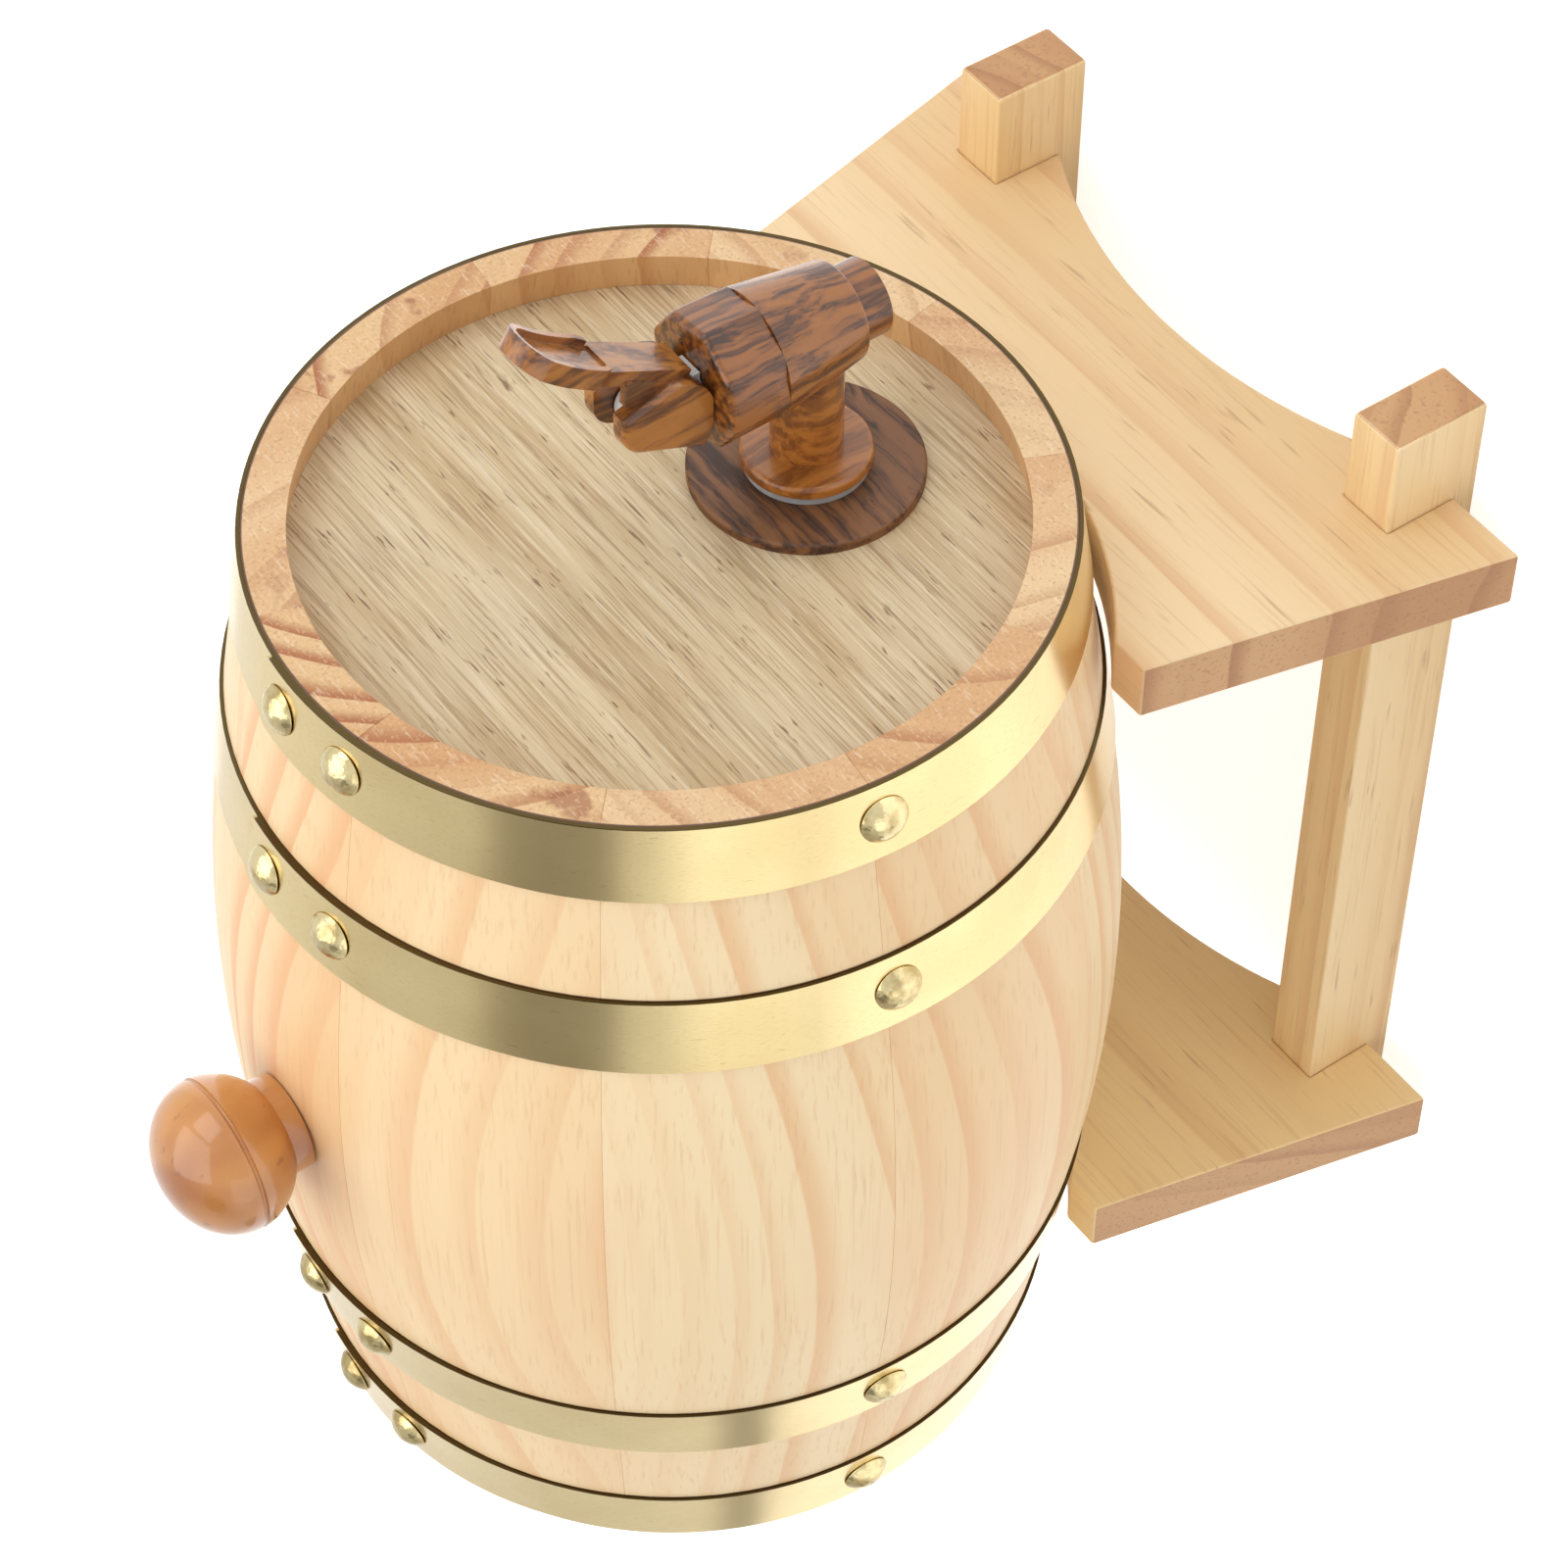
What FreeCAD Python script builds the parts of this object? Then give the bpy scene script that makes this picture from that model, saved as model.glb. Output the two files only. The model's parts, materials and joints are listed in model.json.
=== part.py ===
import FreeCAD, Part
import math
import os
from FreeCAD import Vector

# Small cask on a wooden cradle, laid on its side, with a push lever tap in the front head
# and a turned bung on top of the belly. Millimetres. While it is being built the cask axis
# is the Y axis through the origin, the front head faces -Y and +Z is up. At the end all is
# moved so that the origin lies on the table, under the middle of the whole object.

# Cask
CASK_LENGTH = 210.0
BELLY_RADIUS = 84.5
BELLY_HALF = 50.0
TAPER_DEG = 9.0
STAVE_WALL = 8.0
STAVE_COUNT = 10
FIRST_JOINT_DEG = -11.5
BUNG_STAVE_TRIM_DEG = 9.5

# Heads
HEAD_THICK = 8.0
HEAD_RECESS = 8.1
CROZE_DEPTH = 2.5
HEAD_CLEAR = 0.1

# Hoops
HOOP_THICK = 0.7
CHIME_HOOP_WIDTH = 15.4
QUARTER_HOOP_OUT = 67.4
QUARTER_HOOP_WIDTH = 15.5
LAP_END_DEG = 9.0
LAP_RUN_DEG = 44.0
LAP_CORNER = 3.0

# Domed nails
NAIL_HEAD_RADIUS = 4.7
NAIL_HEAD_HEIGHT = 2.6
NAIL_SHANK_RADIUS = 0.9
NAIL_SHANK_LENGTH = 5.0
NAIL_HOLE_CLEAR = 0.05
SEAM_NAIL_DEG = 3.5
SEAM_NAIL_PITCH_DEG = 13.5
SIDE_NAIL_DEG = 85.0

# Bung
BUNG_Y = 2.5
BUNG_HOLE_RADIUS = 8.0
BUNG_FIT = 0.08
BUNG_PLUG_LENGTH = 13.0
BUNG_COLLAR_RADIUS = 9.5
BUNG_COLLAR_HEIGHT = 4.0
BUNG_KNOB_RADIUS = 15.2
BUNG_KNOB_HALF = 12.6
BUNG_GROOVE = 0.5
BUNG_SEAT_GAP = 0.2
BUNG_KNOB_SINK = 3.15
BUNG_TIP_CHAMFER = 0.95

# Tap: shank, washers and nut, all about the shank axis
SHANK_Z = -31.0
SHANK_RADIUS = 7.8
SHANK_HOLE_CLEAR = 0.3
SHANK_TAIL = 2.5
SHANK_BORE_RADIUS = 3.6
ESCUTCHEON_RADIUS = 21.2
ESCUTCHEON_THICK = 2.2
WASHER_RADIUS = 11.3
WASHER_THICK = 2.0
COLLAR_RADIUS = 11.9
COLLAR_THICK = 2.3
COLLAR_ROUND = 1.1
ESCUTCHEON_ROUND = 0.75
NECK_RADIUS = 6.5
SHANK_RING_FIT = 0.05
GASKET_RADIUS = 13.0
GASKET_THICK = 2.0
NUT_ACROSS = 24.0
NUT_THICK = 6.0

# Tap: body, cap, seat cup and stem, all about the spout axis
SPOUT_REACH = 27.8
SPOUT_TIP_Z = -43.8
SPOUT_RADIUS = 7.1
SPOUT_LENGTH = 6.1
SPOUT_BORE_RADIUS = 4.6
BODY_FOOT_RADIUS = 9.2
BODY_FOOT_ROUND = 0.9
BODY_LENGTH = 18.7
BODY_TOP_RADIUS = 12.0
CHAMBER_RADIUS = 7.0
SEAT_HEIGHT = 7.3
SPIGOT_RADIUS = 8.6
SPIGOT_LENGTH = 7.0
CAP_SIDES = 8
CAP_FLAT_LOW = 11.4
CAP_FLAT_HIGH = 11.7
CAP_HEIGHT = 11.8
CAP_TWIST_DEG = -12.0
CAP_BORE_CLEAR = 0.25
CAP_PLATE = 3.2
CAP_ROUND = 1.4
CUP_WALL = 0.9
CUP_GAP = 0.35
CUP_PLUG_RADIUS = 5.9
CUP_PLUG_HEIGHT = 3.0
CUP_FLANGE_CLEAR = 0.1
STEM_RADIUS = 2.9
STEM_FIT = 0.1
STEM_TIP_RADIUS = 2.4
STEM_SOCKET_CLEAR = 0.3
STEM_SOCKET_DEPTH = 1.6
STEM_FLOOR_GAP = 0.2
TONGUE_HALF_X = 2.6
TONGUE_HALF_Y = 4.3
TONGUE_TOP = 5.6

# Lever: cheeks with cam heels, stub axles, two necks and a blade with a raised rim
LEVER_TRAVEL_DEG = 40.0
STEM_LIFT_PER_RAD = 2.9
HEEL_GAP = 0.25
PIVOT_HEIGHT = 8.6
AXLE_RADIUS = 1.6
AXLE_FIT = 0.05
AXLE_LENGTH = 1.7
CHEEK_GAP = 0.3
CHEEK_THICK = 3.6
CHEEK_BACK = 3.6
CHEEK_BACK_RISE = 6.2
CHEEK_TOP = 9.4
CHEEK_CROWN = 2.0
CHEEK_FRONT = 8.0
CHEEK_BROW = 5.2
CHEEK_TOE = 1.2
CHEEK_SHIN_SETBACK = 2.0
CHEEK_SHIN_HEIGHT = 3.0
CHEEK_SHOULDER_Y = 1.3
CHEEK_SHOULDER_Z = 8.7
CHEEK_ROUND = 1.2
BLADE_LEAN_DEG = 28.5
BLADE_OFFSET = 6.3
BLADE_THICK = 3.0
BLADE_START = -1.5
STICK_HALF = 3.6
STICK_HALF_END = 4.5
STICK_LENGTH = 18.0
BLADE_LENGTH = 37.5
BLADE_BEND_RADIUS = 60.0
PADDLE_HALF = 5.4
SHOULDER_RUN = 1.6
RIM_RAISE = 0.9
RIM_WALL = 1.3
DISH_DEPTH = 0.5
NECK_PLATE = 1.7
NECK_LOW = 1.5
NECK_HIGH = 12.5
NECK_TAPER = 2.0
NECK_DEPTH = 4.0
NECK_OVERLAP = 1.0

# Stand
BOARD_THICK = 12.0
BOARD_OUTER_Y = 84.5
BOARD_TOP_Z = -56.7
BOARD_HEIGHT = 71.0
BOARD_HALF_TOP = 63.6
BOARD_HALF_BOTTOM = 80.6
CRADLE_RADIUS = 85.0
CRADLE_GAP = 0.3
ARCH_RISE = 13.0
RAIL_INNER_X = 50.9
RAIL_WIDTH = 11.9
RAIL_HEIGHT = 20.5
RAIL_FOOT = 5.2
RAIL_LENGTH = 210.0
RAIL_ROUND = 0.6

# Tolerance for finding the edges that lie on a given plane
NEAR = 0.01

ORIGIN = Vector(0, 0, 0)
X_AXIS = Vector(1, 0, 0)
Y_AXIS = Vector(0, 1, 0)
Z_AXIS = Vector(0, 0, 1)

HALF = CASK_LENGTH / 2
TAPER = math.radians(TAPER_DEG)
BELLY_ARC = BELLY_HALF / math.sin(TAPER)
HEAD_OUT = HALF - HEAD_RECESS
HEAD_IN = HEAD_OUT - HEAD_THICK
LAP_SHIFT = HOOP_THICK / (1 - math.cos(math.radians(LAP_RUN_DEG)))
LAP_SHRINK = LAP_SHIFT - HOOP_THICK

ESCUTCHEON_Y = -HEAD_OUT - ESCUTCHEON_THICK
WASHER_Y = ESCUTCHEON_Y - WASHER_THICK
COLLAR_Y = WASHER_Y - COLLAR_THICK
SPOUT_Y = COLLAR_Y - SPOUT_REACH
GASKET_Y = -HEAD_IN
NUT_Y = GASKET_Y + GASKET_THICK
BODY_FOOT_Z = SPOUT_TIP_Z + SPOUT_LENGTH
BODY_TOP_Z = BODY_FOOT_Z + BODY_LENGTH
SEAT_Z = SPOUT_TIP_Z + SEAT_HEIGHT
SPIGOT_TOP_Z = BODY_TOP_Z + SPIGOT_LENGTH
CAP_TOP_Z = BODY_TOP_Z + CAP_HEIGHT
CAP_CEILING_Z = CAP_TOP_Z - CAP_PLATE
PIVOT_Z = CAP_TOP_Z + PIVOT_HEIGHT
CHEEK_INNER_X = TONGUE_HALF_X + CHEEK_GAP
CHEEK_OUTER_X = CHEEK_INNER_X + CHEEK_THICK
BOARD_BOTTOM_Z = BOARD_TOP_Z - BOARD_HEIGHT
BOARD_INNER_Y = BOARD_OUTER_Y - BOARD_THICK
RAIL_BOTTOM_Z = BOARD_BOTTOM_Z - RAIL_FOOT


def cask_radius(y):
    """Outer radius of the staves at a distance y from the middle."""
    y = abs(y)
    if y <= BELLY_HALF:
        return BELLY_RADIUS - BELLY_ARC + math.sqrt(BELLY_ARC ** 2 - y ** 2)
    shoulder = BELLY_RADIUS - BELLY_ARC * (1 - math.cos(TAPER))
    return shoulder - (y - BELLY_HALF) * math.tan(TAPER)


def inner_radius(y):
    """Inner radius of the staves at a distance y from the middle."""
    return cask_radius(y) - STAVE_WALL


def polar(angle_deg):
    """Unit vector square to the cask axis, measured from +Z towards +X."""
    a = math.radians(angle_deg)
    return Vector(math.sin(a), 0, math.cos(a))


def line(a, b):
    return Part.LineSegment(a, b).toShape()


def arc(a, b, c):
    return Part.Arc(a, b, c).toShape()


def face_of(edges):
    return Part.Face(Part.Wire(edges))


def polygon_face(points):
    return Part.Face(Part.makePolygon(points + [points[0]]))


def in_yz(y, z):
    return Vector(0, y, z)


def turned(points, centre, axis):
    """Solid of revolution from a closed polygon given in the YZ plane."""
    return polygon_face(points).revolve(centre, axis, 360)


def cylinder_y(radius, y_low, y_high, z=0.0):
    return Part.makeCylinder(radius, y_high - y_low, Vector(0, y_low, z), Y_AXIS)


def cylinder_z(radius, z_low, z_high, y=0.0):
    return Part.makeCylinder(radius, z_high - z_low, Vector(0, y, z_low), Z_AXIS)


def box_between(low, high):
    size = high.sub(low)
    return Part.makeBox(size.x, size.y, size.z, low)


def sector(from_deg, to_deg, y_low, y_high, radius):
    """Wedge about the cask axis between two angles, less than half a turn."""
    reach = radius / math.cos(math.radians(to_deg - from_deg) / 2) + 1.0
    corners = [ORIGIN, polar(from_deg) * reach, polar((from_deg + to_deg) / 2) * reach * 1.2,
               polar(to_deg) * reach]
    shift = Vector(0, y_low, 0)
    face = polygon_face([c + shift for c in corners])
    return face.extrude(Vector(0, y_high - y_low, 0))


def joint_angle(index):
    """Angle of the joint before stave number index."""
    angle = FIRST_JOINT_DEG + index * 360.0 / STAVE_COUNT
    if index == 1:
        angle -= BUNG_STAVE_TRIM_DEG
    return angle


def stave_profile():
    """Section of a stave in the YZ plane, with the crozes that hold the heads."""
    croze = inner_radius(HEAD_OUT) + CROZE_DEPTH
    belly = BELLY_HALF
    edges = [
        arc(in_yz(-belly, cask_radius(belly)), in_yz(0, BELLY_RADIUS),
            in_yz(belly, cask_radius(belly))),
        line(in_yz(belly, cask_radius(belly)), in_yz(HALF, cask_radius(HALF))),
        line(in_yz(HALF, cask_radius(HALF)), in_yz(HALF, inner_radius(HALF))),
        line(in_yz(HALF, inner_radius(HALF)), in_yz(HEAD_OUT, inner_radius(HEAD_OUT))),
        line(in_yz(HEAD_OUT, inner_radius(HEAD_OUT)), in_yz(HEAD_OUT, croze)),
        line(in_yz(HEAD_OUT, croze), in_yz(HEAD_IN, croze)),
        line(in_yz(HEAD_IN, croze), in_yz(HEAD_IN, inner_radius(HEAD_IN))),
        line(in_yz(HEAD_IN, inner_radius(HEAD_IN)), in_yz(belly, inner_radius(belly))),
        arc(in_yz(belly, inner_radius(belly)), in_yz(0, inner_radius(0)),
            in_yz(-belly, inner_radius(belly))),
        line(in_yz(-belly, inner_radius(belly)), in_yz(-HEAD_IN, inner_radius(HEAD_IN))),
        line(in_yz(-HEAD_IN, inner_radius(HEAD_IN)), in_yz(-HEAD_IN, croze)),
        line(in_yz(-HEAD_IN, croze), in_yz(-HEAD_OUT, croze)),
        line(in_yz(-HEAD_OUT, croze), in_yz(-HEAD_OUT, inner_radius(HEAD_OUT))),
        line(in_yz(-HEAD_OUT, inner_radius(HEAD_OUT)), in_yz(-HALF, inner_radius(HALF))),
        line(in_yz(-HALF, inner_radius(HALF)), in_yz(-HALF, cask_radius(HALF))),
        line(in_yz(-HALF, cask_radius(HALF)), in_yz(-belly, cask_radius(belly))),
    ]
    return face_of(edges)


def hoop_spans():
    """Front to back: the two edges of each hoop, along the cask axis."""
    quarter_in = QUARTER_HOOP_OUT - QUARTER_HOOP_WIDTH
    chime_in = HALF - CHIME_HOOP_WIDTH
    return [(-HALF, -chime_in), (-QUARTER_HOOP_OUT, -quarter_in),
            (quarter_in, QUARTER_HOOP_OUT), (chime_in, HALF)]


def nail_angles():
    return [SEAM_NAIL_DEG, SEAM_NAIL_DEG - SEAM_NAIL_PITCH_DEG, -SIDE_NAIL_DEG, SIDE_NAIL_DEG]


def hoop_rise(angle_deg):
    """Height of a hoop's outside above the staves, with the lap."""
    off = (angle_deg - LAP_END_DEG + 180.0) % 360.0 - 180.0
    if off > 0 or off < -LAP_RUN_DEG:
        return HOOP_THICK
    return HOOP_THICK + LAP_SHIFT * math.cos(math.radians(off)) - LAP_SHRINK


def nail_frame(span, angle_deg):
    """Foot of a nail on the staves and the direction out of them."""
    y = (span[0] + span[1]) / 2
    out = polar(angle_deg) * math.cos(TAPER) + Y_AXIS * (math.copysign(1, y) * math.sin(TAPER))
    foot = polar(angle_deg) * cask_radius(y) + Y_AXIS * y
    return foot, out


def nail(span, angle_deg):
    """Domed nail whose head lies on the hoop."""
    foot, out = nail_frame(span, angle_deg)
    seat = foot + out * (hoop_rise(angle_deg) / math.cos(TAPER))
    height = NAIL_HEAD_HEIGHT
    ball = (NAIL_HEAD_RADIUS ** 2 + height ** 2) / (2 * height)
    dome = Part.makeSphere(ball, Vector(0, 0, height - ball))
    dome = dome.common(Part.makeCylinder(NAIL_HEAD_RADIUS, height + 1))
    tip = Vector(0, 0, -NAIL_SHANK_LENGTH)
    shank = Part.makeCylinder(NAIL_SHANK_RADIUS, NAIL_SHANK_LENGTH, tip)
    body = dome.fuse(shank)
    body.Placement = FreeCAD.Placement(seat, FreeCAD.Rotation(Z_AXIS, out))
    return body


def nail_hole(span, angle_deg):
    foot, out = nail_frame(span, angle_deg)
    depth = NAIL_SHANK_LENGTH + NAIL_HOLE_CLEAR
    radius = NAIL_SHANK_RADIUS + NAIL_HOLE_CLEAR
    seat = foot + out * (hoop_rise(angle_deg) / math.cos(TAPER))
    return Part.makeCylinder(radius, depth + HOOP_THICK, seat - out * depth, out)


def stave(index):
    """One stave between two joints, with its nail holes and, on top, the bung hole."""
    start = joint_angle(index)
    sweep = joint_angle(index + 1) - start
    if index == STAVE_COUNT - 1:
        sweep = joint_angle(0) + 360.0 - start
    face = stave_profile()
    face.rotate(ORIGIN, Y_AXIS, start)
    body = face.revolve(ORIGIN, Y_AXIS, sweep)
    for span in hoop_spans():
        for angle in nail_angles():
            if (angle - start) % 360.0 < sweep:
                body = body.cut(nail_hole(span, angle))
    if -start % 360.0 < sweep:
        low = inner_radius(0) - STAVE_WALL
        body = body.cut(cylinder_z(BUNG_HOLE_RADIUS, low, BELLY_RADIUS + STAVE_WALL, BUNG_Y))
    return body


def head():
    """Round head that fills the croze on the rear side."""
    radius = inner_radius(HEAD_OUT) + CROZE_DEPTH - HEAD_CLEAR
    return cylinder_y(radius, HEAD_IN, HEAD_OUT)


def front_head():
    body = head().mirror(ORIGIN, Y_AXIS)
    hole = cylinder_y(SHANK_RADIUS + SHANK_HOLE_CLEAR, -HEAD_OUT - 1, -HEAD_IN + 1, SHANK_Z)
    return body.cut(hole)


def cone_y(span, extra, centre):
    """Frustum that follows the staves between two stations, made larger by extra."""
    first = cask_radius(span[0]) + extra
    last = cask_radius(span[1]) + extra
    return Part.makeCone(first, last, span[1] - span[0], centre + Y_AXIS * span[0], Y_AXIS)


def hoop(span):
    """Flat strip bent round the staves; its outer end laps over and is nailed down."""
    band = cone_y(span, HOOP_THICK, ORIGIN)
    shift = polar(LAP_END_DEG) * LAP_SHIFT
    lap = cone_y(span, HOOP_THICK - LAP_SHRINK, shift)
    start = LAP_END_DEG - LAP_RUN_DEG * 1.15
    lap = lap.common(sector(start, LAP_END_DEG, span[0], span[1], cask_radius(0) * 1.2))
    lap = lap.cut(cone_y(span, HOOP_THICK * 0.5, ORIGIN))
    corners = [e for e in lap.Edges if is_lap_corner(e, span)]
    lap = lap.makeFillet(LAP_CORNER, corners)
    band = band.fuse(lap)
    band = band.cut(cone_y(span, 0.0, ORIGIN))
    for angle in nail_angles():
        band = band.cut(nail_hole(span, angle))
    return band


def is_lap_corner(edge, span):
    """True for the short radial edges at the free end of a lap."""
    ends = [v.Point for v in edge.Vertexes]
    if len(ends) != 2 or edge.Length > HOOP_THICK * 3:
        return False
    flat = [abs(p.dot(polar(LAP_END_DEG + 90.0))) < 0.01 for p in ends]
    side = [min(abs(p.y - span[0]), abs(p.y - span[1])) < 0.01 for p in ends]
    return all(flat) and all(side) and abs(ends[0].y - ends[1].y) < 0.01


def bung():
    """Turned bung: straight plug, collar and a flattened ball with a scored line."""
    seat = BELLY_RADIUS + BUNG_SEAT_GAP
    plug = BUNG_HOLE_RADIUS - BUNG_FIT
    middle = seat + BUNG_COLLAR_HEIGHT + BUNG_KNOB_HALF - BUNG_KNOB_SINK
    knob = Part.makeSphere(BUNG_KNOB_RADIUS, ORIGIN)
    squash = FreeCAD.Matrix()
    squash.A33 = BUNG_KNOB_HALF / BUNG_KNOB_RADIUS
    knob = knob.transformGeometry(squash)
    knob.translate(Vector(0, BUNG_Y, middle))
    groove = Part.makeTorus(BUNG_KNOB_RADIUS, BUNG_GROOVE, Vector(0, BUNG_Y, middle), Z_AXIS)
    collar = cylinder_z(BUNG_COLLAR_RADIUS, seat, middle, BUNG_Y)
    stem = cylinder_z(plug, seat - BUNG_PLUG_LENGTH, middle, BUNG_Y)
    tip = edges_at(stem, lambda b: b.ZMax < seat - BUNG_PLUG_LENGTH + NEAR)
    stem = stem.makeChamfer(BUNG_TIP_CHAMFER, tip)
    return stem.fuse(collar).fuse(knob).cut(groove).removeSplitter()


def ring_y(outer, inner, y_low, y_high):
    ring = cylinder_y(outer, y_low, y_high, SHANK_Z)
    return ring.cut(cylinder_y(inner, y_low - 1, y_high + 1, SHANK_Z))


def edges_at(shape, test):
    return [e for e in shape.Edges if test(e.BoundBox)]


def escutcheon():
    """Thin round plate between the tap and the head, its outer edge eased."""
    ring = ring_y(ESCUTCHEON_RADIUS, SHANK_RADIUS + SHANK_HOLE_CLEAR, ESCUTCHEON_Y, -HEAD_OUT)
    rim = edges_at(ring, lambda b: b.YMax < ESCUTCHEON_Y + NEAR and b.XLength > ESCUTCHEON_RADIUS)
    return ring.makeFillet(ESCUTCHEON_ROUND, rim)


def lock_nut():
    """Hexagon nut inside the cask."""
    circum = NUT_ACROSS / math.sqrt(3)
    corners = []
    for k in range(6):
        a = math.radians(60 * k)
        corners.append(Vector(circum * math.cos(a), NUT_Y, SHANK_Z + circum * math.sin(a)))
    nut = polygon_face(corners).extrude(Vector(0, NUT_THICK, 0))
    bore = SHANK_RADIUS + SHANK_RING_FIT
    return nut.cut(cylinder_y(bore, NUT_Y - 1, NUT_Y + NUT_THICK + 1, SHANK_Z))


def tap_body():
    """Shank, collar, neck and tapered body with spout, seat and spigot for the cap."""
    tail = NUT_Y + NUT_THICK + SHANK_TAIL
    shank = cylinder_y(SHANK_RADIUS, WASHER_Y, tail, SHANK_Z)
    collar = cylinder_y(COLLAR_RADIUS, COLLAR_Y, WASHER_Y, SHANK_Z)
    rim = edges_at(collar, lambda b: b.YMax < COLLAR_Y + NEAR)
    collar = collar.makeFillet(COLLAR_ROUND, rim)
    neck = cylinder_y(NECK_RADIUS, SPOUT_Y, COLLAR_Y + 1, SHANK_Z)
    body = Part.makeCone(BODY_FOOT_RADIUS, BODY_TOP_RADIUS, BODY_LENGTH,
                         Vector(0, SPOUT_Y, BODY_FOOT_Z), Z_AXIS)
    foot = edges_at(body, lambda b: b.ZMax < BODY_FOOT_Z + NEAR)
    body = body.makeFillet(BODY_FOOT_ROUND, foot)
    spout = cylinder_z(SPOUT_RADIUS, SPOUT_TIP_Z, BODY_FOOT_Z + 1, SPOUT_Y)
    spigot = cylinder_z(SPIGOT_RADIUS, BODY_TOP_Z - 1, SPIGOT_TOP_Z, SPOUT_Y)
    solid = shank.fuse([collar, neck, body, spout, spigot])
    chamber = cylinder_z(CHAMBER_RADIUS, SEAT_Z, SPIGOT_TOP_Z + 1, SPOUT_Y)
    outlet = cylinder_z(SPOUT_BORE_RADIUS, SPOUT_TIP_Z - 1, SEAT_Z + 1, SPOUT_Y)
    inlet = cylinder_y(SHANK_BORE_RADIUS, SPOUT_Y, tail + 1, SHANK_Z)
    return solid.cut(chamber.fuse([outlet, inlet])).removeSplitter()


def regular_polygon(flat, z, twist_deg):
    """Closed wire about the spout axis with CAP_SIDES equal sides."""
    circum = flat / math.cos(math.pi / CAP_SIDES)
    points = []
    for k in range(CAP_SIDES + 1):
        a = math.radians(360.0 * k / CAP_SIDES + twist_deg)
        points.append(Vector(circum * math.sin(a), SPOUT_Y - circum * math.cos(a), z))
    return Part.makePolygon(points)


def tap_cap():
    """Faceted cap that screws on the body and guides the stem."""
    low = regular_polygon(CAP_FLAT_LOW, BODY_TOP_Z, CAP_TWIST_DEG)
    high = regular_polygon(CAP_FLAT_HIGH, CAP_TOP_Z, CAP_TWIST_DEG)
    shell = Part.makeLoft([low, high], True, True)
    slopes = edges_at(shell, lambda b: b.ZLength > CAP_HEIGHT - NEAR)
    shell = shell.makeFillet(CAP_ROUND, slopes)
    top = edges_at(shell, lambda b: b.ZMin > CAP_TOP_Z - NEAR)
    shell = shell.makeFillet(CAP_ROUND, top)
    bore = SPIGOT_RADIUS + CAP_BORE_CLEAR
    hollow = cylinder_z(bore, BODY_TOP_Z - 1, CAP_CEILING_Z, SPOUT_Y)
    hole = cylinder_z(STEM_RADIUS + STEM_FIT, CAP_CEILING_Z - 1, CAP_TOP_Z + 1, SPOUT_Y)
    return shell.cut(hollow.fuse(hole))


def seat_cup():
    """Silicone cup: a flange held under the cap, a thin wall and a plug on the seat."""
    outer = CHAMBER_RADIUS - CUP_GAP
    inner = outer - CUP_WALL
    flange = SPIGOT_RADIUS - CUP_FLANGE_CLEAR
    plug_top = SEAT_Z + CUP_PLUG_HEIGHT
    socket = STEM_TIP_RADIUS + STEM_SOCKET_CLEAR
    floor = plug_top - STEM_SOCKET_DEPTH
    centre = Vector(0, SPOUT_Y, 0)
    rows = [(0, SEAT_Z), (CUP_PLUG_RADIUS, SEAT_Z), (outer, plug_top), (outer, SPIGOT_TOP_Z),
            (flange, SPIGOT_TOP_Z), (flange, CAP_CEILING_Z), (inner, CAP_CEILING_Z),
            (inner, plug_top), (socket, plug_top), (socket, floor), (0, floor)]
    return turned([Vector(0, SPOUT_Y + r, z) for r, z in rows], centre, Z_AXIS)


def tap_stem():
    """Stem: tip in the cup, round rod through the cap and a flat tongue for the lever."""
    plug_top = SEAT_Z + CUP_PLUG_HEIGHT
    foot = plug_top - STEM_SOCKET_DEPTH + STEM_FLOOR_GAP
    tip = cylinder_z(STEM_TIP_RADIUS, foot, plug_top + 1, SPOUT_Y)
    rod = cylinder_z(STEM_RADIUS, plug_top + STEM_FLOOR_GAP, CAP_TOP_Z + HEEL_GAP + 1, SPOUT_Y)
    low = CAP_TOP_Z + HEEL_GAP
    top = PIVOT_Z + TONGUE_TOP
    half = TONGUE_HALF_Y
    edges = [
        line(in_yz(SPOUT_Y - half, low), in_yz(SPOUT_Y + half, low)),
        line(in_yz(SPOUT_Y + half, low), in_yz(SPOUT_Y + half, top - half)),
        arc(in_yz(SPOUT_Y + half, top - half), in_yz(SPOUT_Y, top),
            in_yz(SPOUT_Y - half, top - half)),
        line(in_yz(SPOUT_Y - half, top - half), in_yz(SPOUT_Y - half, low)),
    ]
    tongue = face_of(edges).extrude(X_AXIS * (2 * TONGUE_HALF_X))
    tongue.translate(X_AXIS * -TONGUE_HALF_X)
    eye = Part.makeCylinder(AXLE_RADIUS + AXLE_FIT, 2 * STEM_RADIUS + 2,
                            Vector(-STEM_RADIUS - 1, SPOUT_Y, PIVOT_Z), X_AXIS)
    return tip.fuse([rod, tongue]).cut(eye).removeSplitter()


def cam_point(turn):
    """Point of the heel that bears on the cap when the lever has turned by that angle."""
    rise = PIVOT_HEIGHT - HEEL_GAP + STEM_LIFT_PER_RAD * turn
    s = math.sin(turn)
    c = math.cos(turn)
    y = rise * s + STEM_LIFT_PER_RAD * c
    z = -rise * c + STEM_LIFT_PER_RAD * s
    return in_yz(SPOUT_Y + y, PIVOT_Z + z)


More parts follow.
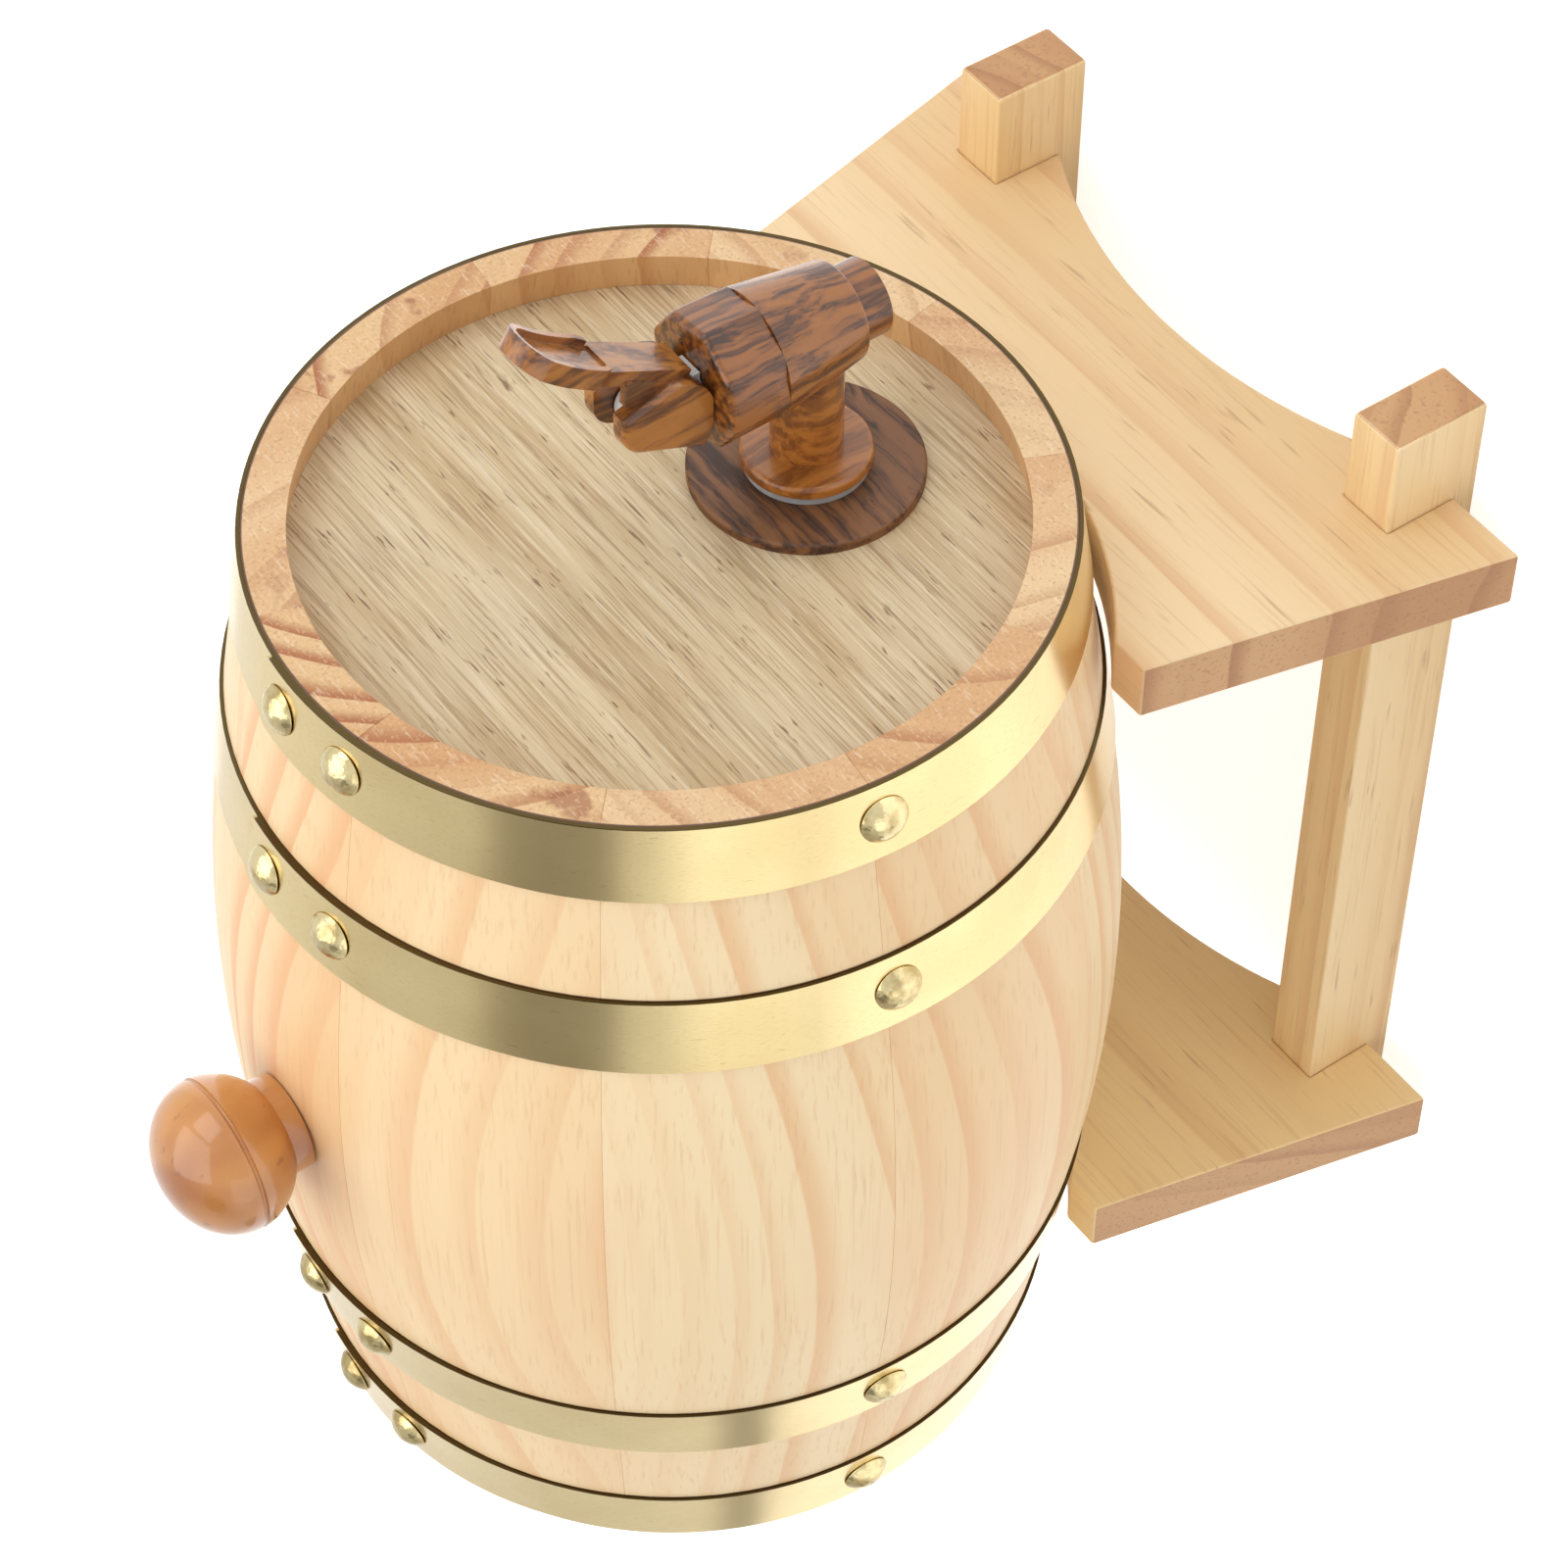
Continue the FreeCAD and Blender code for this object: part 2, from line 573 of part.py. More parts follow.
def cheek_face():
    """Side of a cheek: flat heel, cam corner at the back and a rounded front."""
    travel = math.radians(LEVER_TRAVEL_DEG)
    cam = [cam_point(travel * k / 6) for k in range(7)]
    curve = Part.BSplineCurve()
    curve.interpolate(cam)
    heel = PIVOT_Z - PIVOT_HEIGHT + HEEL_GAP
    front = SPOUT_Y - CHEEK_FRONT
    back = in_yz(SPOUT_Y + CHEEK_BACK, PIVOT_Z + CHEEK_BACK_RISE)
    crown = in_yz(SPOUT_Y - CHEEK_CROWN, PIVOT_Z + CHEEK_TOP)
    brow = in_yz(SPOUT_Y - CHEEK_BROW, PIVOT_Z + CHEEK_TOP)
    toe = in_yz(SPOUT_Y - CHEEK_TOE, heel)
    shin = in_yz(front, PIVOT_Z)
    mid = in_yz(front + CHEEK_SHIN_SETBACK, heel + CHEEK_SHIN_HEIGHT)
    shoulder = in_yz(SPOUT_Y + CHEEK_SHOULDER_Y, PIVOT_Z + CHEEK_SHOULDER_Z)
    edges = [curve.toShape(), line(cam[-1], back), arc(back, shoulder, crown), line(crown, brow),
             line(brow, shin), arc(shin, mid, toe), line(toe, cam[0])]
    return face_of(edges)


def cheek():
    """Right cheek, its outer corners rounded, with the stub axle on its inner side."""
    plate = cheek_face().extrude(X_AXIS * CHEEK_THICK)
    plate.translate(X_AXIS * CHEEK_INNER_X)
    outer = edges_at(plate, lambda b: b.XMin > CHEEK_OUTER_X - NEAR and b.ZMin > PIVOT_Z - NEAR)
    plate = plate.makeFillet(CHEEK_ROUND, outer)
    base = Vector(CHEEK_INNER_X - AXLE_LENGTH, SPOUT_Y, PIVOT_Z)
    return plate.fuse(Part.makeCylinder(AXLE_RADIUS, AXLE_LENGTH + 1, base, X_AXIS))


def blade_point(along, across):
    """Point of the lever's side view: distance along the bent blade and out of its back face.

    The blade runs straight from the pivot end, then bends forward on an arc.
    """
    lean = math.radians(BLADE_LEAN_DEG)
    straight = min(along, STICK_LENGTH)
    bend = max(along - STICK_LENGTH, 0.0) / BLADE_BEND_RADIUS
    y = -math.sin(lean) * straight
    z = math.cos(lean) * straight
    y += -BLADE_BEND_RADIUS * (math.cos(lean) - math.cos(lean + bend))
    z += BLADE_BEND_RADIUS * (math.sin(lean + bend) - math.sin(lean))
    out = lean + bend
    y += -math.cos(out) * (BLADE_OFFSET + across)
    z += -math.sin(out) * (BLADE_OFFSET + across)
    return in_yz(SPOUT_Y + y, PIVOT_Z + z)


def blade_side(start, end, low, high):
    """Side view of a stretch of blade between two distances from its back face."""
    turn = STICK_LENGTH
    half = (turn + end) / 2
    edges = [line(blade_point(start, low), blade_point(turn, low)),
             arc(blade_point(turn, low), blade_point(half, low), blade_point(end, low)),
             line(blade_point(end, low), blade_point(end, high)),
             arc(blade_point(end, high), blade_point(half, high), blade_point(turn, high)),
             line(blade_point(turn, high), blade_point(start, high)),
             line(blade_point(start, high), blade_point(start, low))]
    return face_of(edges)


def blade_outline(inset, start):
    """Bar through the blade, seen square to it: tapered stick, shoulders and round paddle."""
    bend = math.degrees((BLADE_LENGTH - STICK_LENGTH) / BLADE_BEND_RADIUS)
    lean = math.radians(BLADE_LEAN_DEG + bend / 3)
    along = Vector(0, -math.sin(lean), math.cos(lean))
    out = Vector(0, -math.cos(lean), -math.sin(lean))
    base = in_yz(SPOUT_Y, PIVOT_Z)
    half = PADDLE_HALF - inset
    end = BLADE_LENGTH - inset
    full = STICK_LENGTH + SHOULDER_RUN
    near = STICK_HALF - inset
    far = STICK_HALF_END - inset

    def at(x, s):
        return base + X_AXIS * x + along * s
    edges = [line(at(-near, start), at(near, start)),
             line(at(near, start), at(far, STICK_LENGTH)),
             line(at(far, STICK_LENGTH), at(half, full)),
             line(at(half, full), at(half, end - half)),
             arc(at(half, end - half), at(0, end), at(-half, end - half)),
             line(at(-half, end - half), at(-half, full)),
             line(at(-half, full), at(-far, STICK_LENGTH)),
             line(at(-far, STICK_LENGTH), at(-near, start))]
    face = face_of(edges)
    face.translate(out * -BLADE_LENGTH)
    return face.extrude(out * (2 * BLADE_LENGTH))


def blade_slab(start, end, low, high):
    """Stretch of the bent blade between two distances from its back, wide enough to trim."""
    slab = blade_side(start, end, low, high).extrude(X_AXIS * (4 * PADDLE_HALF))
    slab.translate(X_AXIS * (-2 * PADDLE_HALF))
    return slab


def blade():
    """Stick and paddle with a raised rim round a shallow dish."""
    spare = 2 * PADDLE_HALF
    body = blade_slab(BLADE_START, BLADE_LENGTH + spare, 0.0, BLADE_THICK)
    body = body.common(blade_outline(0.0, BLADE_START - spare))
    rim = blade_slab(STICK_LENGTH - SHOULDER_RUN, BLADE_LENGTH + spare, 0.0, BLADE_THICK + RIM_RAISE)
    rim = rim.common(blade_outline(0.0, STICK_LENGTH))
    floor = BLADE_THICK - DISH_DEPTH
    dish = blade_slab(STICK_LENGTH - SHOULDER_RUN, BLADE_LENGTH + spare, floor, 2 * BLADE_OFFSET)
    dish = dish.common(blade_outline(RIM_WALL, BLADE_START - spare))
    return body.fuse(rim).cut(dish)


def neck():
    """Right plate that ties its cheek to the stick, beside the stem's tongue."""
    corners = [blade_point(NECK_LOW, NECK_OVERLAP), blade_point(NECK_HIGH, NECK_OVERLAP),
               blade_point(NECK_HIGH - NECK_TAPER, -NECK_DEPTH), blade_point(NECK_LOW, -NECK_DEPTH)]
    plate = polygon_face(corners).extrude(X_AXIS * NECK_PLATE)
    plate.translate(X_AXIS * CHEEK_INNER_X)
    return plate


def lever():
    """Blade on a stick, two necks, two cheeks with cam heels, and stub axles in the stem."""
    right = cheek().fuse(neck())
    left = right.mirror(ORIGIN, X_AXIS)
    return right.fuse([left, blade()]).removeSplitter()


def cradle_board():
    """Rear board: trapezium with the cask's seat on top, an arch below and rail notches."""
    seat_radius = cask_radius(BOARD_INNER_Y) + CRADLE_GAP
    seat_z = CRADLE_RADIUS - seat_radius
    corners = [Vector(-BOARD_HALF_BOTTOM, BOARD_INNER_Y, BOARD_BOTTOM_Z),
               Vector(BOARD_HALF_BOTTOM, BOARD_INNER_Y, BOARD_BOTTOM_Z),
               Vector(BOARD_HALF_TOP, BOARD_INNER_Y, BOARD_TOP_Z),
               Vector(-BOARD_HALF_TOP, BOARD_INNER_Y, BOARD_TOP_Z)]
    board = polygon_face(corners).extrude(Y_AXIS * BOARD_THICK)
    low = BOARD_INNER_Y - 1
    high = BOARD_OUTER_Y + 1
    board = board.cut(cylinder_y(CRADLE_RADIUS, low, high, seat_z))
    arch = (RAIL_INNER_X ** 2 + ARCH_RISE ** 2) / (2 * ARCH_RISE)
    board = board.cut(cylinder_y(arch, low, high, BOARD_BOTTOM_Z + ARCH_RISE - arch))
    notch_top = RAIL_BOTTOM_Z + RAIL_HEIGHT
    for side in (1, -1):
        near = side * RAIL_INNER_X
        far = side * (RAIL_INNER_X + RAIL_WIDTH)
        cut = box_between(Vector(min(near, far), low, BOARD_BOTTOM_Z - 1),
                          Vector(max(near, far), high, notch_top))
        board = board.cut(cut)
    return board


def rail(side):
    """Bar that joins the boards and stands on the table."""
    near = side * RAIL_INNER_X
    far = side * (RAIL_INNER_X + RAIL_WIDTH)
    bar = box_between(Vector(min(near, far), -RAIL_LENGTH / 2, RAIL_BOTTOM_Z),
                      Vector(max(near, far), RAIL_LENGTH / 2, RAIL_BOTTOM_Z + RAIL_HEIGHT))
    end = RAIL_LENGTH / 2 - NEAR
    ends = edges_at(bar, lambda b: b.YMin > end or b.YMax < -end)
    return bar.makeChamfer(RAIL_ROUND, ends)


def build_all():
    """Every piece under its name, still in the cask's own frame."""
    pieces = {}
    for index in range(STAVE_COUNT):
        pieces["stave_%02d" % (index + 1)] = stave(index)
    pieces["front_head"] = front_head()
    pieces["rear_head"] = head()
    names = ["front_chime", "front_quarter", "rear_quarter", "rear_chime"]
    for name, span in zip(names, hoop_spans()):
        pieces[name + "_hoop"] = hoop(span)
        pieces[name + "_nails"] = Part.makeCompound([nail(span, a) for a in nail_angles()])
    pieces["bung"] = bung()
    pieces["tap_escutcheon"] = escutcheon()
    bore = SHANK_RADIUS + SHANK_RING_FIT
    pieces["tap_washer"] = ring_y(WASHER_RADIUS, bore, WASHER_Y, ESCUTCHEON_Y)
    pieces["tap_gasket"] = ring_y(GASKET_RADIUS, bore, GASKET_Y, NUT_Y)
    pieces["tap_lock_nut"] = lock_nut()
    pieces["tap_body"] = tap_body()
    pieces["tap_cap"] = tap_cap()
    pieces["tap_seat_cup"] = seat_cup()
    pieces["tap_stem"] = tap_stem()
    pieces["tap_lever"] = lever()
    board = cradle_board()
    pieces["rear_cradle"] = board
    pieces["front_cradle"] = board.mirror(ORIGIN, Y_AXIS)
    pieces["left_rail"] = rail(-1)
    pieces["right_rail"] = rail(1)
    return pieces


def main():
    os.makedirs("parts", exist_ok=True)
    pieces = build_all()
    whole = Part.makeCompound(list(pieces.values())).BoundBox
    move = Vector(0, -(whole.YMin + whole.YMax) / 2, -whole.ZMin)
    for name, shape in pieces.items():
        placed = shape.copy()
        placed.translate(move)
        solids = placed.Solids
        if len(solids) == 1:
            placed = solids[0]
        placed.exportStep("parts/%s.step" % name)
        print(name, len(solids), round(placed.Volume, 1), placed.isValid())
    print("move", round(move.x, 4), round(move.y, 4), round(move.z, 4))
    print("size", round(whole.XLength, 2), round(whole.YLength, 2), round(whole.ZLength, 2))
    print("pivot", round(SPOUT_Y + move.y, 4), round(PIVOT_Z + move.z, 4))
    print("seat cup top", round(SPIGOT_TOP_Z + move.z, 4))
    print("spout tip", round(SPOUT_TIP_Z + move.z, 4))


main()
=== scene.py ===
"""Small wooden cask on its cradle, with brass hoops, a turned bung and a lever tap."""
import json
import logging
import math
from dataclasses import dataclass
from enum import Enum

import bmesh
import bpy
from mathutils import Matrix, Vector

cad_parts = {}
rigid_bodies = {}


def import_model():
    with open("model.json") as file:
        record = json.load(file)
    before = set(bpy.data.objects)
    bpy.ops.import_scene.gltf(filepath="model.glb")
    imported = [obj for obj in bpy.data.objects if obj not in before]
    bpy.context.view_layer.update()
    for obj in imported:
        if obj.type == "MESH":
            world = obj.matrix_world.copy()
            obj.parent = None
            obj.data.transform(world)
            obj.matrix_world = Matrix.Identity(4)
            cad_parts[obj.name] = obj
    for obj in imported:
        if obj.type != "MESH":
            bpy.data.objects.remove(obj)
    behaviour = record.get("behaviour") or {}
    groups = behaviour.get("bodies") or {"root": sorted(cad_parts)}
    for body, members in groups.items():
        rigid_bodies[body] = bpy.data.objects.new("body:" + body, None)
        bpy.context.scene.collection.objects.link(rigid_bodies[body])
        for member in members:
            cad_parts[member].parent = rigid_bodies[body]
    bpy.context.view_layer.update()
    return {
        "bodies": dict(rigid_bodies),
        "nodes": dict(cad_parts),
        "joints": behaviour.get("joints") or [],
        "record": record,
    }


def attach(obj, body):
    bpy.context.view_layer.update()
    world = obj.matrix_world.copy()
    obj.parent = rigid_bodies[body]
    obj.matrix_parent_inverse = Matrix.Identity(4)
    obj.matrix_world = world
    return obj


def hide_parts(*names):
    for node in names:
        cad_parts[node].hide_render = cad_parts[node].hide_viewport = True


LOG = logging.getLogger("cask")
MM = 0.001

FRAME: dict = {}

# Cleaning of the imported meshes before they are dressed
MERGE_DISTANCE = 0.002 * MM
SHORTEST_EDGE = 0.0001 * MM
FLAT_ANGLE = math.radians(0.4)

WHITE = (1.0, 1.0, 1.0, 1.0)
BLACK = (0.0, 0.0, 0.0, 1.0)

Node = bpy.types.Node
Socket = bpy.types.NodeSocket
Tree = bpy.types.NodeTree
Colour = tuple[int, int, int]
Place = tuple[float, float, float]
Step = tuple[float, float]


# Measures shared by the sub-assemblies, in metres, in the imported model's frame

@dataclass(frozen=True)
class Measures:
    """Places of the cask and the tap that more than one class needs."""

    axis_y: float = 27.7471 * MM
    axis_z: float = 132.9 * MM
    half_length: float = 105.0 * MM
    belly_radius: float = 84.5 * MM
    belly_half: float = 50.0 * MM
    taper: float = math.radians(9.0)
    hoop_fronts: tuple[float, ...] = (-105.0 * MM, -67.4 * MM, 51.9 * MM, 89.6 * MM)
    spout_y: float = -103.4529 * MM

    def radius(self, y: float) -> float:
        """Outer radius of the staves.

        Args:
            y: Distance along the cask from its middle.

        Returns:
            The radius in metres.
        """
        arc = self.belly_half / math.sin(self.taper)
        y = abs(y)
        if y <= self.belly_half:
            return self.belly_radius - arc + math.sqrt(arc * arc - y * y)
        shoulder = self.belly_radius - arc * (1 - math.cos(self.taper))
        return shoulder - (y - self.belly_half) * math.tan(self.taper)


SIZES = Measures()


def linear(red: int, green: int, blue: int) -> tuple[float, float, float, float]:
    """Scene colour from a colour as seen on a screen.

    Args:
        red: Red, 0 to 255.
        green: Green, 0 to 255.
        blue: Blue, 0 to 255.

    Returns:
        The linear colour with an alpha of 1.
    """
    def one(value: int) -> float:
        """Linear value of one channel."""
        part = value / 255
        return part / 12.92 if part <= 0.04045 else ((part + 0.055) / 1.055) ** 2.4
    return (one(red), one(green), one(blue), 1.0)


@dataclass(frozen=True)
class Layer:
    """A colour laid over a base: its share, and the values where it starts and is full."""

    colour: Colour
    share: float
    steps: Step | None = None


@dataclass(frozen=True)
class Blend:
    """Two colours, and the values between which the first turns into the second."""

    first: Colour
    second: Colour
    steps: Step


@dataclass(frozen=True)
class Noise:
    """A noise texture: its scale if fixed, detail, roughness and the stretch of its vector."""

    scale: float | None
    detail: float = 2.0
    rough: float = 0.5
    stretch: Place | None = None


class Graph:
    """A node tree with short ways to add nodes and join them."""

    def __init__(self, tree: Tree) -> None:
        """Keeps the tree.

        Args:
            tree: The tree of a material, a world or a group.
        """
        self.tree = tree

    def add(self, kind: str, inputs: dict | None = None, **settings: object) -> Node:
        """Adds a node.

        Args:
            kind: Blender's name of the node type.
            inputs: Values or sockets for its inputs, by name or number.
            settings: Properties of the node.

        Returns:
            The new node.
        """
        node = self.tree.nodes.new(kind)
        for name, value in settings.items():
            setattr(node, name, value)
        self.feed(node, inputs or {})
        return node

    def feed(self, node: Node, inputs: dict) -> None:
        """Joins sockets to a node's inputs, or sets their values."""
        for key, value in inputs.items():
            if isinstance(value, Socket):
                self.tree.links.new(value, node.inputs[key])
            else:
                node.inputs[key].default_value = value

    def math(self, operation: str, *values: object) -> Socket:
        """Adds a Math node and returns its output."""
        node = self.add("ShaderNodeMath", dict(enumerate(values)), operation=operation)
        return node.outputs[0]

    def layer(self, base: object, value: object, layer: Layer) -> Socket:
        """Lays a colour over a base, where the value and the layer's steps say."""
        mask = self.ramp(value, *layer.steps) if layer.steps else value
        return self.mix(self.math("MULTIPLY", mask, layer.share), base, linear(*layer.colour))

    def blend(self, value: object, blend: Blend) -> Socket:
        """Turns one colour into another as a value rises."""
        return self.mix(self.ramp(value, *blend.steps), linear(*blend.first),
                        linear(*blend.second))

    def band(self, value: object, first: Step, second: Step) -> Socket:
        """Product of two smooth steps of one value, as a band with two soft sides."""
        return self.math("MULTIPLY", self.ramp(value, *first), self.ramp(value, *second))

    def highest(self, masks: list[Socket]) -> Socket:
        """Largest of some masks."""
        top = masks[0]
        for mask in masks[1:]:
            top = self.math("MAXIMUM", top, mask)
        return top

    def ramp(self, value: object, low: float, high: float) -> Socket:
        """Adds a smooth step from low to high and returns its output."""
        node = self.add("ShaderNodeMapRange", {0: value, 1: low, 2: high},
                        interpolation_type="SMOOTHSTEP", clamp=True)
        return node.outputs[0]

    def noise(self, vector: object, noise: Noise, scale: object = None) -> Socket:
        """Adds a Noise Texture node, at the given scale or its own, and returns its factor."""
        if noise.stretch:
            vector = self.mapping(vector, scale=noise.stretch)
        node = self.add("ShaderNodeTexNoise", {"Vector": vector, "Scale": scale or noise.scale,
                                               "Detail": noise.detail, "Roughness": noise.rough})
        return node.outputs["Fac"]

    def mapping(self, vector: object, turn: Place = (0, 0, 0), scale: Place = (1, 1, 1)) -> Socket:
        """Adds a Mapping node and returns its vector."""
        return self.add("ShaderNodeMapping", {"Vector": vector, "Rotation": turn,
                                              "Scale": scale}).outputs[0]

    def mix(self, factor: object, first: object, second: object) -> Socket:
        """Adds a colour Mix node and returns its colour."""
        node = self.add("ShaderNodeMix", {0: factor, 6: first, 7: second}, data_type="RGBA")
        return node.outputs[2]

    def separate(self, vector: object) -> tuple[Socket, ...]:
        """Adds a Separate XYZ node and returns its three outputs."""
        node = self.add("ShaderNodeSeparateXYZ", {0: vector})
        return tuple(node.outputs[:3])

    def combine(self, x: object, y: object, z: object) -> Socket:
        """Adds a Combine XYZ node and returns its vector."""
        return self.add("ShaderNodeCombineXYZ", {0: x, 1: y, 2: z}).outputs[0]


def new_group(name: str, inputs: dict[str, float],
              outputs: list[str]) -> tuple[Graph, Node, Node]:
    """Starts a shader node group that takes a vector and numbers and gives numbers.

    Args:
        name: Name of the group.
        inputs: Name and default of each number that goes in.
        outputs: Name of each number that comes out.

    Returns:
        The group's graph, its input node and its output node.
    """
    tree = bpy.data.node_groups.new(name, "ShaderNodeTree")
    tree.interface.new_socket("Vector", in_out="INPUT", socket_type="NodeSocketVector")
    for label, default in inputs.items():
        socket = tree.interface.new_socket(label, in_out="INPUT", socket_type="NodeSocketFloat")
        socket.default_value = default
    for label in outputs:
        tree.interface.new_socket(label, in_out="OUTPUT", socket_type="NodeSocketFloat")
    graph = Graph(tree)
    return graph, graph.add("NodeGroupInput"), graph.add("NodeGroupOutput")


class Effects:
    """Shader node groups that several finishes share, each built once."""

    # Growth rings
    BEND = Noise(26.0)
    BEND_ALONG = 0.16
    UNEVEN = Noise(1.0, 1.0)
    UNEVEN_PACE = 0.35
    UNEVEN_SHARE = 1.3
    RISE = (0.35, 0.93)
    FALL = (1.0, 0.94)
    STRENGTH = Noise(1.0, 3.0)
    STRENGTH_PACE = 0.731
    STRENGTH_LAYER = 0.3
    STRENGTH_STEPS = (0.36, 0.66)
    TONE = Noise(1.0, 1.0)
    TONE_PACE = 0.21
    TONE_LAYER = 4.0

    # Fibres and pores
    FIBRE = Noise(None, 4.0)
    PORE = Noise(None)
    PORE_LENGTHS = 2.6
    PORE_FINENESS = 0.55
    PORE_STEPS = (0.66, 0.76)

    # Printed film
    DRIFT_SCALE = 60.0
    STREAK_STRETCH = 0.045
    WIDE = Noise(None, 2.0, 0.55)
    FINE = Noise(None, 3.0, 0.6)
    FINE_SCALE = 4.5
    FINE_SHARE = 0.75
    DARK_STEPS = (0.44, 0.7)
    WARM_STEPS = (0.38, 0.6)

    def __init__(self) -> None:
        """Builds every group."""
        self.rings = self._rings()
        self.fibre = self._fibre()
        self.round = self._round()
        self.print = self._print()

    def _rings(self) -> Tree:
        """Growth rings about a pith that lies along Y, bent a little by knots and weather."""
        graph, source, result = new_group(
            "growth_rings", {"Pith X": 0.1, "Pith Z": 0.0, "Spacing": 6.0 * MM,
                             "Wander": 4.0 * MM, "Seed": 0}, ["Late wood", "Board tone"])
        x, y, z = graph.separate(source.outputs["Vector"])
        seed = source.outputs["Seed"]
        slow = graph.combine(graph.math("ADD", x, seed),
                             graph.math("MULTIPLY", y, self.BEND_ALONG), z)
        bend = graph.math("SUBTRACT", graph.noise(slow, self.BEND), 0.5)
        dx = graph.math("SUBTRACT", x, source.outputs["Pith X"])
        dz = graph.math("SUBTRACT", z, source.outputs["Pith Z"])
        far = graph.math("SQRT", graph.math("ADD", graph.math("MULTIPLY", dx, dx),
                                            graph.math("MULTIPLY", dz, dz)))
        far = graph.math("MULTIPLY_ADD", bend, source.outputs["Wander"], far)
        turn = graph.math("DIVIDE", far, source.outputs["Spacing"])
        uneven = graph.combine(graph.math("MULTIPLY", turn, self.UNEVEN_PACE), seed, 0.0)
        turn = graph.math("MULTIPLY_ADD", graph.noise(uneven, self.UNEVEN), self.UNEVEN_SHARE,
                          turn)
        part = graph.math("FRACT", turn)
        ring = graph.math("MULTIPLY", graph.ramp(part, *self.RISE), graph.ramp(part, *self.FALL))
        pace = graph.math("MULTIPLY", graph.math("FLOOR", turn), self.STRENGTH_PACE)
        strength = graph.noise(graph.combine(pace, seed, self.STRENGTH_LAYER), self.STRENGTH)
        late = graph.math("MULTIPLY", ring, graph.ramp(strength, *self.STRENGTH_STEPS))
        pace = graph.math("MULTIPLY", turn, self.TONE_PACE)
        tone = graph.noise(graph.combine(pace, seed, self.TONE_LAYER), self.TONE)
        graph.feed(result, {"Late wood": late, "Board tone": tone})
        return graph.tree

    def _fibre(self) -> Tree:
        """Fine fibres and short pores along the vector's own Y."""
        graph, source, result = new_group("wood_fibre", {"Fineness": 900, "Stretch": 0.03},
                                          ["Fibre", "Pore"])
        x, y, z = graph.separate(source.outputs["Vector"])
        along = graph.math("MULTIPLY", y, source.outputs["Stretch"])
        thin = graph.combine(x, along, z)
        fineness = source.outputs["Fineness"]
        fibre = graph.noise(thin, self.FIBRE, fineness)
        short = graph.combine(x, graph.math("MULTIPLY", along, self.PORE_LENGTHS), z)
        coarse = graph.math("MULTIPLY", fineness, self.PORE_FINENESS)
        pore = graph.noise(short, self.PORE, coarse)
        graph.feed(result, {"Fibre": fibre, "Pore": graph.ramp(pore, *self.PORE_STEPS)})
        return graph.tree

    def _round(self) -> Tree:
        """Object place about the cask axis: angle, distance along and distance out."""
        graph, source, result = new_group("about_cask_axis", {}, ["Angle", "Along", "Out"])
        x, y, z = graph.separate(source.outputs["Vector"])
        z = graph.math("SUBTRACT", z, SIZES.axis_z)
        out = graph.math("SQRT", graph.math("ADD", graph.math("MULTIPLY", x, x),
                                            graph.math("MULTIPLY", z, z)))
        graph.feed(result, {"Angle": graph.math("ARCTAN2", x, z), "Out": out,
                            "Along": graph.math("SUBTRACT", y, SIZES.axis_y)})
        return graph.tree

    def _print(self) -> Tree:
        """Streaky wood pattern as printed on moulded plastic, along the vector's own Y."""
        graph, source, result = new_group(
            "wood_pattern_film", {"Streaks": 260, "Bend": 2.0 * MM}, ["Dark", "Warm"])
        vector = source.outputs["Vector"]
        streaks = source.outputs["Streaks"]
        x, y, z = graph.separate(vector)
        drift = graph.add("ShaderNodeTexNoise", {"Vector": vector, "Scale": self.DRIFT_SCALE,
                                                 "Detail": 2.0})
        drift = graph.add("ShaderNodeVectorMath", {0: drift.outputs["Color"], 1: (0.5, 0.5, 0.5)},
                          operation="SUBTRACT").outputs[0]
        drift = graph.add("ShaderNodeVectorMath", {0: drift, "Scale": source.outputs["Bend"]},
                          operation="SCALE").outputs[0]
        thin = graph.combine(x, graph.math("MULTIPLY", y, self.STREAK_STRETCH), z)
        thin = graph.add("ShaderNodeVectorMath", {0: thin, 1: drift}, operation="ADD").outputs[0]
        wide = graph.noise(thin, self.WIDE, streaks)
        fine = graph.noise(thin, self.FINE, graph.math("MULTIPLY", streaks, self.FINE_SCALE))
        dark = graph.math("MULTIPLY_ADD", graph.math("SUBTRACT", fine, 0.5), self.FINE_SHARE,
                          wide)
        graph.feed(result, {"Dark": graph.ramp(dark, *self.DARK_STEPS),
                            "Warm": graph.ramp(wide, *self.WARM_STEPS)})
        return graph.tree


class Axis(Enum):
    """Direction in which a pattern runs, as the turn that brings it to Y."""

    ALONG_X = (0.0, 0.0, math.radians(90))
    ALONG_Y = (0.0, 0.0, 0.0)
    ALONG_Z = (math.radians(90), 0.0, 0.0)


def spaced(inputs: dict) -> dict:
    """Inputs with spaces for the underscores in their names."""
    return {key.replace("_", " "): value for key, value in inputs.items()}


